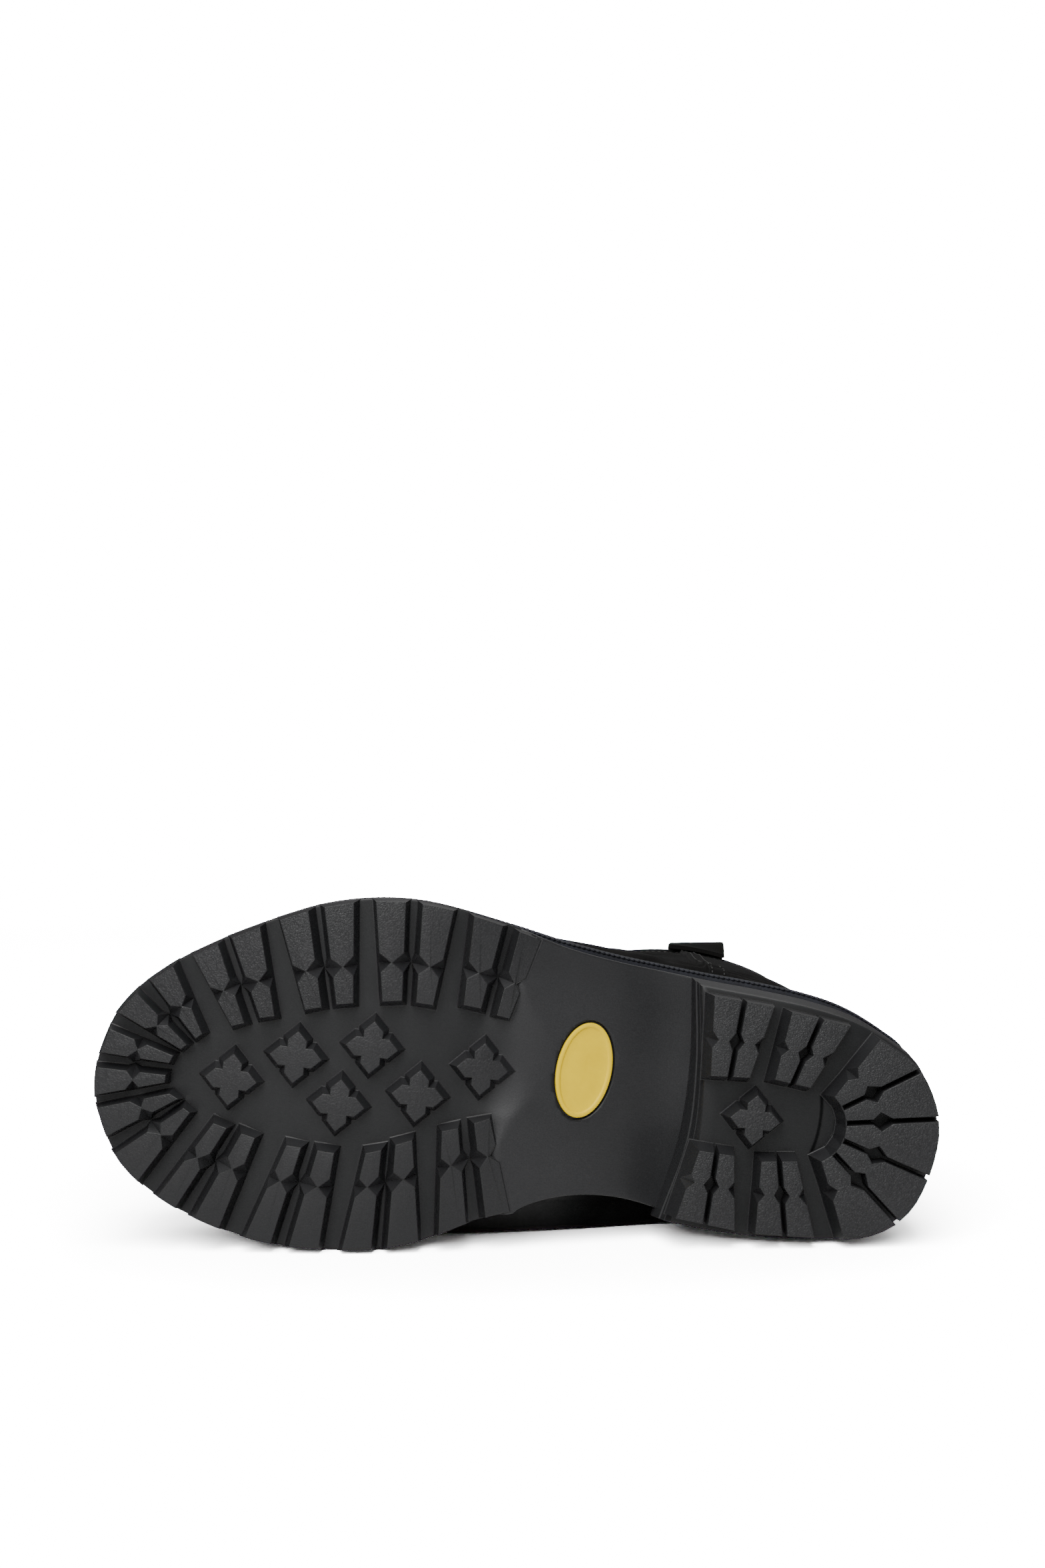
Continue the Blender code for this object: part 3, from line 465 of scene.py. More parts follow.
def capsule(length: float, width: float, height: float, around: int, rings: int) -> Patch:
    """A thread's float: an ellipse carried along x, its size the root of 1 less the place's fourth power.

    Args:
        length: size along x.
        width: size along y.
        height: size along z.
        around: points round each ellipse.
        rings: ellipses between the two ends.

    Returns:
        The closed shape about its own origin.
    """
    t = np.linspace(-1, 1, rings + 2)
    size = np.sqrt(np.clip(1 - t ** 4, 0.0, 1.0))
    a = np.linspace(0, 2 * math.pi, around, endpoint=False)
    x = np.broadcast_to((t * length / 2)[:, None], (rings + 2, around))
    y = size[:, None] * np.cos(a)[None, :] * width / 2
    z = size[:, None] * np.sin(a)[None, :] * height / 2
    return grid_patch(np.stack([x, y, z], axis=-1))


def placed_object(name: str, data: bpy.types.ID) -> bpy.types.Object:
    """An object for the data, in the scene."""
    obj = bpy.data.objects.new(name, data)
    bpy.context.scene.collection.objects.link(obj)
    return obj


class Piece:
    """A visible piece: patches joined in one mesh in the row's frame, with its finish."""

    DOUBLES = 2e-6  # points this near in metres are one
    DEGENERATE = 1e-7  # edges this short in metres are taken out

    def __init__(self, name: str, patches: list[Patch], sharp: float = 40.0) -> None:
        """Join the patches, merge doubles, turn the faces outwards and make the object.

        Args:
            name: the object's name.
            patches: what it is made of.
            sharp: edges over this angle in degrees stay sharp.
        """
        points = LIE.to_world(np.vstack([p.points for p in patches]))
        offsets = np.concatenate([[0], np.cumsum([len(p.points) for p in patches])])
        faces = [row for p, start in zip(patches, offsets) for f in p.faces for row in (f + start).tolist()]
        mesh = bpy.data.meshes.new(name)
        mesh.from_pydata(points.tolist(), [], faces)
        grain = mesh.attributes.new("grain", "FLOAT", "POINT")
        grain.data.foreach_set("value", np.concatenate([p.grained() for p in patches]).astype(np.float32))
        bm = bmesh.new()
        bm.from_mesh(mesh)
        bmesh.ops.remove_doubles(bm, verts=bm.verts, dist=self.DOUBLES)
        bmesh.ops.dissolve_degenerate(bm, edges=bm.edges, dist=self.DEGENERATE)
        bmesh.ops.recalc_face_normals(bm, faces=bm.faces)
        bm.to_mesh(mesh)
        bm.free()
        mesh.shade_smooth()
        mesh.set_sharp_from_angle(angle=math.radians(sharp))
        self.obj = placed_object(name, mesh)

    def cut(self, cutter: "Piece") -> None:
        """Take the cutter's body out of this piece for good, and remove the cutter."""
        mod = self.obj.modifiers.new("cut", "BOOLEAN")
        mod.object, mod.operation, mod.solver = cutter.obj, "DIFFERENCE", "EXACT"
        done = bpy.data.meshes.new_from_object(self.obj.evaluated_get(bpy.context.evaluated_depsgraph_get()))
        self.obj.modifiers.clear()
        self.obj.data = done
        bpy.data.objects.remove(cutter.obj, do_unlink=True)

    def dress(self, finish: "Finish", node: str, replaces: bool = True) -> "Piece":
        """Give the finish, ride on the boot's body and, if it replaces the CAD node, hide that node.

        Args:
            finish: the material's recipe.
            node: CAD node that it is shown in place of; it is hidden when the piece replaces it.
            replaces: whether the piece is shown in that node's place.

        Returns:
            The piece.
        """
        self.obj.data.materials.clear()
        self.obj.data.materials.append(finish.material())
        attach(self.obj, "root")
        if replaces:
            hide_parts(node)
        LOG.info("%s: %d faces", self.obj.name, len(self.obj.data.polygons))
        return self


# ==== shader maths

@dataclass
class Wire:
    """A shader value that Python's own operators work on."""

    maker: "Shader"
    socket: bpy.types.NodeSocket

    def __add__(self, other: "Wire | float") -> "Wire":
        """Sum."""
        return self.maker.math("ADD", self, other)

    __radd__ = __add__

    def __mul__(self, other: "Wire | float") -> "Wire":
        """Product."""
        return self.maker.math("MULTIPLY", self, other)

    __rmul__ = __mul__

    def __sub__(self, other: "Wire | float") -> "Wire":
        """Difference."""
        return self.maker.math("SUBTRACT", self, other)

    def __rsub__(self, other: float) -> "Wire":
        """Difference from a number."""
        return self.maker.math("SUBTRACT", other, self)

    def step(self, low: float, high: float) -> "Wire":
        """Smooth step: 0 up to low, 1 from high on."""
        node = self.maker.node("ShaderNodeMapRange", {"interpolation_type": "SMOOTHSTEP"},
                               {"Value": self, "From Min": low, "From Max": high})
        return Wire(self.maker, node.outputs["Result"])


class Shader:
    """A material whose nodes are made one by one round a Principled shader."""

    def __init__(self, name: str) -> None:
        """Make the material."""
        self.material = bpy.data.materials.new(name)
        self.material.use_nodes = True
        self.tree = self.material.node_tree
        self.surface = self.tree.nodes["Principled BSDF"]

    def put(self, socket: bpy.types.NodeSocket, value: object) -> None:
        """Set a socket to a number or colour, or link it to a wire."""
        if isinstance(value, Wire):
            self.tree.links.new(value.socket, socket)
        else:
            socket.default_value = value

    def node(self, kind: str, settings: dict | None = None, values: dict | None = None) -> bpy.types.Node:
        """Any node.

        Args:
            kind: the node's type.
            settings: its own settings, which are set first.
            values: numbers, colours or wires for its sockets, by name or number.

        Returns:
            The node.
        """
        made = self.tree.nodes.new(kind)
        for key, value in (settings or {}).items():
            setattr(made, key, value)
        for key, value in (values or {}).items():
            self.put(made.inputs[key], value)
        return made

    def math(self, operation: str, *values: "Wire | float") -> Wire:
        """A Math node on numbers and wires."""
        made = self.node("ShaderNodeMath", {"operation": operation}, dict(enumerate(values)))
        return Wire(self, made.outputs[0])

    def place(self) -> Wire:
        """Object coordinates, in metres."""
        return Wire(self, self.node("ShaderNodeTexCoord").outputs["Object"])

    def noise(self, size: float, detail: float = 2.0, roughness: float = 0.5) -> Wire:
        """Soft noise whose lumps are about size millimetres."""
        made = self.node("ShaderNodeTexNoise", None, {
            "Vector": self.place(), "Scale": 1 / (size * MM), "Detail": detail, "Roughness": roughness})
        return Wire(self, made.outputs["Fac"])

    def cells(self, size: float, smooth: float = 0.6) -> Wire:
        """Distance to the nearest of scattered points about size millimetres apart."""
        made = self.node("ShaderNodeTexVoronoi", {"feature": "SMOOTH_F1"}, {
            "Vector": self.place(), "Scale": 1 / (size * MM), "Smoothness": smooth})
        return Wire(self, made.outputs["Distance"])

    def attribute(self, name: str) -> Wire:
        """A number kept on the mesh's points."""
        return Wire(self, self.node("ShaderNodeAttribute", {"attribute_name": name}).outputs["Fac"])

    def mix(self, share: "Wire | float", low: object, high: object) -> Wire:
        """Blend of two colours."""
        made = self.node("ShaderNodeMix", {"data_type": "RGBA"}, {"Factor": share, 6: low, 7: high})
        return Wire(self, made.outputs[2])

    def bump(self, height: Wire, depth: float, under: Wire | None = None) -> Wire:
        """Normal of a relief that is depth millimetres high, over another relief if given."""
        values = {"Height": height, "Distance": depth * MM, "Strength": 1.0}
        if under is not None:
            values["Normal"] = under
        return Wire(self, self.node("ShaderNodeBump", None, values).outputs["Normal"])

    def finish(self, **values: object) -> bpy.types.Material:
        """Set the Principled shader's sockets; a name's underscores stand for spaces."""
        for key, value in values.items():
            self.put(self.surface.inputs[key.replace("_", " ")], value)
        return self.material


Colour = tuple[float, float, float, float]


class Finish:
    """A recipe for a material."""

    def material(self) -> bpy.types.Material:
        """Make the material."""
        raise NotImplementedError


@dataclass(frozen=True)
class MouldedRubber(Finish):
    """Dark moulded rubber with a pebble grain where the mesh is marked for it, and painted shade on the
    unmarked floors.
    """

    name: str
    low: Colour = (0.0085, 0.0086, 0.0092, 1.0)
    high: Colour = (0.0150, 0.0151, 0.0160, 1.0)
    roughness: float = 0.42
    pebble: float = 0.9
    pebble_depth: float = 0.16
    # hollow_shade: share of the colour that unmarked floors keep: painted shade
    hollow_shade: float = 0.72

    def material(self) -> bpy.types.Material:
        """Cloudy grey, faint mottling and pebbles on the marked faces, with painted shade on the unmarked
        floors and a painted highlight on the pebbles.
        """
        s = Shader(self.name)
        cloud = s.noise(26.0, 3.0)
        grain = s.attribute("grain")
        worm = 1 - s.math("ABSOLUTE", s.noise(self.pebble, 1.0) - 0.5).step(0.0, 0.12)
        pebbles = worm * 0.6 + s.cells(self.pebble * 0.8).step(0.15, 0.75) * 0.4
        fine = s.noise(0.30, 2.0)
        skin = s.bump(fine, 0.018)
        relief = s.bump(pebbles * grain, self.pebble_depth, skin)
        dust = s.noise(0.9, 4.0, 0.7).step(0.70, 0.80)
        colour = s.mix(cloud, self.low, self.high)
        # painted shade: points marked 0, the floors between the lugs, are darkened by hollow_shade
        shade = self.hollow_shade + (1 - self.hollow_shade) * grain.step(0.0, 0.08)
        colour = s.mix(shade, (0.0, 0.0, 0.0, 1.0), colour)
        # painted highlight: the pebbles on grained faces are painted lighter
        colour = s.mix(grain * pebbles * 0.14, colour, (0.045, 0.046, 0.049, 1.0))
        colour = s.mix(dust * 0.06, colour, (0.16, 0.16, 0.16, 1.0))
        rough = self.roughness + 0.10 * (cloud - 0.5) + 0.04 * fine
        return s.finish(Base_Color=colour, Roughness=rough, Normal=relief, Specular_IOR_Level=0.26)


@dataclass(frozen=True)
class Suede(Finish):
    """Matt black suede: brushed nap, slight fading in patches."""

    name: str
    low: Colour = (0.0030, 0.0029, 0.0029, 1.0)
    high: Colour = (0.0092, 0.0088, 0.0086, 1.0)

    def material(self) -> bpy.types.Material:
        """Nap as fine noise over slow brush marks, with a soft sheen."""
        s = Shader(self.name)
        brush = s.noise(9.0, 4.0, 0.65)
        nap = s.noise(0.42, 3.0, 0.7)
        grain = s.noise(1.6, 2.0)
        share = (brush.step(0.25, 0.80) * 0.35 + nap * 0.6).step(0.15, 0.90)
        colour = s.mix(share, self.low, self.high)
        normal = s.bump(nap, 0.10, s.bump(grain, 0.10))
        return s.finish(Base_Color=colour, Roughness=0.93 + 0.06 * (nap - 0.5), Normal=normal,
                        Specular_IOR_Level=0.0, Sheen_Weight=0.025, Sheen_Roughness=0.5,
                        Coat_Weight=s.attribute("grain"), Coat_Roughness=0.36)


@dataclass(frozen=True)
class Thread(Finish):
    """Twisted or braided yarn."""

    name: str
    low: Colour = (0.0050, 0.0058, 0.0100, 1.0)
    high: Colour = (0.0170, 0.0200, 0.0340, 1.0)
    roughness: float = 0.62

    def material(self) -> bpy.types.Material:
        """Fine fibres as noise."""
        s = Shader(self.name)
        fibre = s.noise(0.35, 2.0)
        patch = s.noise(4.0, 2.0)
        colour = s.mix((fibre * 0.6 + patch * 0.4).step(0.3, 0.75), self.low, self.high)
        return s.finish(Base_Color=colour, Roughness=self.roughness, Normal=s.bump(fibre, 0.08),
                        Specular_IOR_Level=0.25)


@dataclass(frozen=True)
class Fleece(Finish):
    """Short curly pile."""

    name: str
    low: Colour = (0.0070, 0.0065, 0.0060, 1.0)
    high: Colour = (0.0380, 0.0350, 0.0330, 1.0)

    def material(self) -> bpy.types.Material:
        """Curls as cells over noise."""
        s = Shader(self.name)
        curl = s.cells(1.9, 0.4)
        fibre = s.noise(0.5, 3.0, 0.7)
        height = curl * 0.7 + fibre * 0.5
        colour = s.mix(height.step(0.2, 0.9), self.high, self.low)
        return s.finish(Base_Color=colour, Roughness=1.0, Normal=s.bump(1 - height, 0.9),
                        Specular_IOR_Level=0.15, Sheen_Weight=0.5, Sheen_Roughness=0.6)


@dataclass(frozen=True)
class Webbing(Finish):
    """Woven tape: ribs along and across, about half a millimetre apart."""

    name: str
    low: Colour = (0.0034, 0.0033, 0.0031, 1.0)
    high: Colour = (0.0070, 0.0068, 0.0064, 1.0)
    rib: float = 0.75

    def material(self) -> bpy.types.Material:
        """Ribs as sine bands on object coordinates, broken by noise."""
        s = Shader(self.name)
        bands = s.node("ShaderNodeTexWave", {"bands_direction": "X"}, {
            "Vector": s.place(), "Scale": 1 / (self.rib * MM) / 3.2, "Distortion": 0.6, "Detail": 1.0})
        rib = Wire(s, bands.outputs["Fac"])
        fibre = s.noise(0.4, 2.0)
        colour = s.mix(rib * 0.6 + fibre * 0.4, self.low, self.high)
        normal = s.bump(rib * 0.7 + fibre * 0.3, 0.07)
        return s.finish(Base_Color=colour, Roughness=0.9, Normal=normal, Specular_IOR_Level=0.06)


@dataclass(frozen=True)
class ColouredRubber(Finish):
    """Smooth coloured rubber inlay."""

    name: str
    colour: Colour = (0.66, 0.46, 0.001, 1.0)
    worn: Colour = (0.60, 0.41, 0.001, 1.0)

    def material(self) -> bpy.types.Material:
        """Nearly even colour with a satin skin."""
        s = Shader(self.name)
        cloud = s.noise(7.0, 3.0)
        fine = s.noise(0.35, 2.0)
        colour = s.mix(cloud.step(0.35, 0.75) * 0.5, self.colour, self.worn)
        return s.finish(Base_Color=colour, Roughness=0.46 + 0.1 * (cloud - 0.5), Normal=s.bump(fine, 0.015),
                        Specular_IOR_Level=0.25)


# ==== sole

MITRE_LIMIT = 0.35  # sharp corners move no further than at this sum
WALL_MARK = 0.1  # grain of smooth rubber that lies open: no pebbles, and no hollow's shade


def spine(ring: Array, reach: float = 30.0) -> Array:
    """Middle line that a closed outline's fan runs to.

    Args:
        ring: the outline.
        reach: how far the line stays away from heel and toe.

    Returns:
        For each point of the ring, the middle between both sides at its x.
    """
    outline = Outline(ring)
    x = np.clip(ring[:, 0], ring[:, 0].min() + reach, ring[:, 0].max() - reach)
    inner, outer = outline.edges(x)
    return np.column_stack([x, (inner + outer) / 2])


def fan(ring: Array, steps: int) -> Array:
    """Rings from the edge to the spine: straight blend of the two, closer together at the edge."""
    t = (np.linspace(0, 1, steps) ** 1.3)[:, None, None]
    return ring[None] * (1 - t) + spine(ring)[None] * t


def outer_share(ring: Array) -> Array:
    """0 on the inner side of the sole and 1 on the outer side, with a smooth step along the middle."""
    return ramp(ring[:, 1], 25.0, 65.0)[:, None]


@dataclass
class SoleSlab:
    """A closed layer of the sole between two heights, with rounded edges.

    Its surface runs from the spine over the underside, round the edge, up the wall and back over the top.
    """

    bottom: Height
    top: Height
    count: int = 150
    rings: int = 14
    wall_rings: int = 22
    top_rings: int = 8
    round_low: float = 0.7
    round_high: float = 0.3
    draw: Pair = (0.0, 0.6)
    grooves: Row = ()
    groove_depth: float = 0.45
    groove_width: float = 0.035
    marks: Height | None = None

    def ring(self, distance: float, share: float) -> Array:
        """Edge ring at one level of the wall, drawn in on the outer side and cut back in the arch.

        Args:
            distance: how far it lies inside the welt's edge all round.
            share: its place on the wall, 0 at the foot and 1 at the top.

        Returns:
            Places of the ring.
        """
        draw = self.draw[0] + (self.draw[1] - self.draw[0]) * share
        plain, drawn = (OUTLINE.inset(by).ring(self.count) for by in (distance, distance + draw))
        ring = plain * (1 - outer_share(plain)) + drawn * outer_share(plain)
        inner = np.arange(len(ring)) > self.count + 1
        ring[:, 1] += np.where(inner, LAST.undercut(ring[:, 0]), 0.0) + LAST.tuck(ring)
        return ring

    def patch(self) -> Patch:
        """The whole skin as one grid that closes round the foot.

        Returns:
            The closed layer.
        """
        rows = []
        for part in fan(self.ring(self.round_low, 0.0), self.rings)[::-1]:
            rows.append((part, self.bottom(part)))
        for a in np.linspace(0, math.pi / 2, 5)[1:]:
            ring = self.ring(self.round_low * (1 - math.sin(a)), 0.0)
            rows.append((ring, self.bottom(ring) + self.round_low * (1 - math.cos(a))))
        for share in np.linspace(0, 1, self.wall_rings + 2)[1:-1]:
            groove = sum(self.groove_depth * float(bell(share, at, self.groove_width)) for at in self.grooves)
            ring = self.ring(groove, share)
            low = self.bottom(ring) + self.round_low
            rows.append((ring, low + (self.top(ring) - self.round_high - low) * share))
        for a in np.linspace(0, math.pi / 2, 4):
            ring = self.ring(self.round_high * (1 - math.cos(a)), 1.0)
            rows.append((ring, self.top(ring) - self.round_high * (1 - math.sin(a))))
        for part in fan(self.ring(self.round_high, 1.0), self.top_rings)[1:]:
            rows.append((part, self.top(part)))
        marks = None if self.marks is None else np.stack([self.marks(ring) for ring, _ in rows])
        return grid_patch(np.stack([at_height(ring, z) for ring, z in rows]), grain=marks)


def mitred(polygons: Array, distance: float) -> Array:
    """Polygons with every side moved inwards by the same distance.

    Each corner moves along the sum of its sides' normals over one plus their dot product.

    Args:
        polygons: corners of each polygon, clockwise or not, n by corners by 2.
        distance: how far the sides move.

    Returns:
        The smaller polygons.
    """
    after = np.roll(polygons, -1, axis=1) - polygons
    area = (polygons[..., 0] * np.roll(polygons[..., 1], -1, axis=1)
            - polygons[..., 1] * np.roll(polygons[..., 0], -1, axis=1)).sum(axis=1)
    normal = unit(np.stack([-after[..., 1], after[..., 0]], axis=-1)) * np.sign(area)[:, None, None]
    before = np.roll(normal, 1, axis=1)
    dot = (normal * before).sum(axis=-1, keepdims=True)
    return polygons + distance * (normal + before) / np.maximum(1 + dot, MITRE_LIMIT)


def fillet(radius: float) -> list[Pair]:
    """Hollow quarter circle as (way out, way up) pairs: radius less its sine, radius less its cosine."""
    return [(radius * (1 - math.sin(t)), radius * (1 - math.cos(t))) for t in np.radians([0, 22, 45, 68])]


def bevelled(size: float) -> list[Pair]:
    """Rounded edge of a face as (way in, height over the face) pairs."""
    return [(size * a, size * b) for a, b in ((0.0, 1.0), (0.12, 0.5), (0.42, 0.14), (1.0, 0.0))]


def blocks(rings: list[Array], bands: list[Array], grain: Array | float) -> Patch:
    """Blocks between rings that run from the root to the face, with a cap at both ends.

    Args:
        rings: all blocks' corners at each level, blocks by corners by 3.
        bands: one block's faces between its rings.
        grain: grain of the blocks' faces; their walls are smooth.

    Returns:
        The blocks as one patch.
    """
    points = np.stack(rings, axis=1)
    count, levels, corners = points.shape[:3]
    ends = [np.arange(corners)[None] + (levels - 1) * corners, np.arange(corners)[None, ::-1]]
    marks = np.full(points.shape[:3], WALL_MARK)
    marks[:, -1] = grain
    faces = copied(bands + ends, count, levels * corners)
    return Patch(points.reshape(-1, 3), faces, marks.reshape(-1))


@dataclass
class Lugs:
    """Blocks with a pinched waist: on each side two small facets run down to the side wall.

    The arrays have a row for each block, in the walking plane: five places of the outer end, both inner
    corners, the pinch's place as a share of the length, and for both sides its depth, how far its low end
    stands out from the side (or in, for a pit) and the side's lean at the floor; then the inner end's lean
    and the grain. Corners are numbered from the outer end's first place, and k is how many that end has.
    """

    outer: Array
    inner_a: Array
    inner_b: Array
    pinch: Array
    notch: Array
    spread: Array
    lean: Array
    end_lean: Array
    grain: Array
    floor: Height
    face: Height
    depth: float = 6.5
    facet: float = 3.4
    valley: float = 5.3
    reach: float = 0.095
    outer_lean: float = 0.5
    bevel: float = 0.30
    sunk: float = 0.9
    hollow: float = 0.55
    full_round: float = 3.0

    def polygons(self) -> tuple[Array, Array, Array]:
        """Outlines with and without the notches, corner by corner, and the way across each pinch.

        Returns:
            Both outlines, blocks by corners by 2, and a unit vector for each block.
        """
        a0, b0 = self.outer[:, 0], self.outer[:, -1]
        a1, b1 = self.inner_a, self.inner_b
        at = self.pinch[:, None]
        side_a, side_b = a1 - a0, b1 - b0
        mid_a, mid_b = a0 + at * side_a, b0 + at * side_b
        across = unit(mid_b - mid_a)
        near, far = at - self.reach, at + self.reach
        tail = [b0 + near * side_b, mid_b, b0 + far * side_b, b1]
        tail += [a1, a0 + far * side_a, mid_a, a0 + near * side_a]
        notched = list(tail)
        notched[1], notched[6] = mid_b - across * self.notch[:, 1:], mid_a + across * self.notch[:, :1]
        ends = [self.outer[:, k] for k in range(self.outer.shape[1])]
        return np.stack(ends + notched, axis=1), np.stack(ends + tail, axis=1), across

    def widened(self, polygons: Array, height: Array) -> Array:
        """Walls moved out by their leans.

        Args:
            polygons: the blocks' outlines at the face.
            height: how far over the face each corner lies.

        Returns:
            The outlines at that height.
        """
        k = self.outer.shape[1]
        a0, b0, b1, a1 = polygons[:, 0], polygons[:, k - 1], polygons[:, k + 3], polygons[:, k + 4]
        across, long = unit(b0 + b1 - a0 - a1), unit(a1 + b1 - a0 - b0)
        lean_a, lean_b = self.lean[:, :1], self.lean[:, 1:]
        share = np.linspace(0, 1, k)[None] * (lean_a + lean_b) - lean_a
        side = np.hstack([share, lean_b.repeat(4, axis=1), -lean_a.repeat(4, axis=1)])
        end = np.zeros_like(side)
        end[:, :k] = -self.outer_lean
        end[:, [k + 3, k + 4]] = self.end_lean[:, None]
        moved = side[..., None] * across[:, None] + end[..., None] * long[:, None]
        return polygons + (height / self.depth)[..., None] * moved

    def rings(self) -> tuple[list[Array], int]:
        """Rings from the sunk root over a hollow and the walls to the face's bevel, and the facets' row.

        Returns:
            Rings of all blocks, blocks by corners by 3, and the number of the facets' row.
        """
        notched, full, across = self.polygons()
        k = self.outer.shape[1]
        tread = self.face(full)
        deep = np.maximum(self.floor(full) - tread, 0.05)
        round_off = np.clip(deep / self.full_round, 0.1, 1.0)
        pit = self.spread < 0

        def valleys(line: Array) -> Array:
            """Low ends of the notches set out from the sides, or in where they are pits."""
            for corner, column, way in ((k + 1, 1, across), (k + 6, 0, -across)):
                out = np.maximum(self.spread[:, column], ((line - full)[:, corner] * way).sum(axis=1))
                out = np.where(pit[:, column], self.spread[:, column], out)
                line[:, corner] = full[:, corner] + way * out[:, None]
            return line

        low = self.widened(full, deep)
        rings = [np.dstack([valleys(mitred(low, -self.hollow)), tread + deep + self.sunk])]
        for out, up in fillet(self.hollow):
            wall = self.widened(full, deep - up * round_off)
            rings.append(np.dstack([valleys(mitred(wall, -out)), tread + deep - up * round_off]))
        level = deep * self.facet / self.depth
        line = valleys(self.widened(full, level))
        for corner, column in ((k + 1, 1), (k + 6, 0)):
            lowest = deep[:, corner] * self.valley / self.depth
            level[:, corner] = np.where(pit[:, column], level[:, corner], lowest)
        rings.append(np.dstack([line, tread + level]))
        facets = len(rings) - 1
        for way_in, lift in bevelled(self.bevel):
            rings.append(np.dstack([mitred(notched, way_in), tread + lift]))
        return rings, facets

    def patch(self) -> Patch:
        """Quads between the rings, and triangles in the facets' row.

        Returns:
            All blocks as one patch.
        """
        rings, facets = self.rings()
        corners, k = rings[0].shape[1], self.outer.shape[1]
        i = np.arange(corners)
        j = (i + 1) % corners
        bands = []
        for row in range(len(rings) - 1):
            lo_i, lo_j = row * corners + i, row * corners + j
            hi_i, hi_j = lo_i + corners, lo_j + corners
            band = [(lo_i, lo_j, hi_j, hi_i)]
            if row == facets:
                swap = np.isin(i, [k, k + 5])
                band = [(lo_i, lo_j, np.where(swap, hi_i, hi_j)), (np.where(swap, lo_j, lo_i), hi_j, hi_i)]
            bands += [np.stack(face, 1) for face in band]
        return blocks(rings, bands, self.grain[:, None])


@dataclass
class Crosses:
    """Four-petalled studs: four points with a square notch between each two."""

    centres: Array
    floor: Height
    face: Height
    tip: float = 9.4
    shoulder: Pair = (3.5, 5.9)
    notch: float = 3.4
    turn: float = 7.0
    lean: float = 1.6
    bevel: float = 0.30
    sunk: float = 0.9
    hollow: float = 0.45
    grain: float = 0.5

    def polygons(self, grow: float) -> Array:
        """Outlines of all studs: a quarter turned four times, with its sides moved out by grow."""
        a, b = self.shoulder
        quarter = np.array([(0, self.tip), (a, b), (self.notch, self.notch), (b, a)])
        spin = np.radians(self.turn - 90 * np.arange(4))[:, None]
        x, y = quarter.T
        shape = np.stack([x * np.cos(spin) - y * np.sin(spin), x * np.sin(spin) + y * np.cos(spin)], axis=-1)
        return mitred(shape.reshape(1, -1, 2), -grow) + self.centres[:, None]

    def patch(self) -> Patch:
        """Rings from the sunk root over a hollow to the face with a small bevel."""
        rows = [(self.lean + self.hollow, self.floor, self.sunk)]
        rows += [(self.lean + out, self.floor, -up) for out, up in fillet(self.hollow)]
        rows += [(-way_in, self.face, lift) for way_in, lift in bevelled(self.bevel)]
        rings = []
        for grow, height, lift in rows:
            line = self.polygons(grow)
            rings.append(np.dstack([line, height(line) + lift]))
        return blocks(rings, [grid_faces(len(rings), rings[0].shape[1])], self.grain)


@dataclass(frozen=True)
class Lug:
    """One lug of the forefoot: corners of its face, its pinch, both sides' leans, and its grain."""

    outer_a: Pair
    outer_b: Pair
    inner_a: Pair
    inner_b: Pair
    pinch: float
    lean_a: float
    lean_b: float
    grain: float


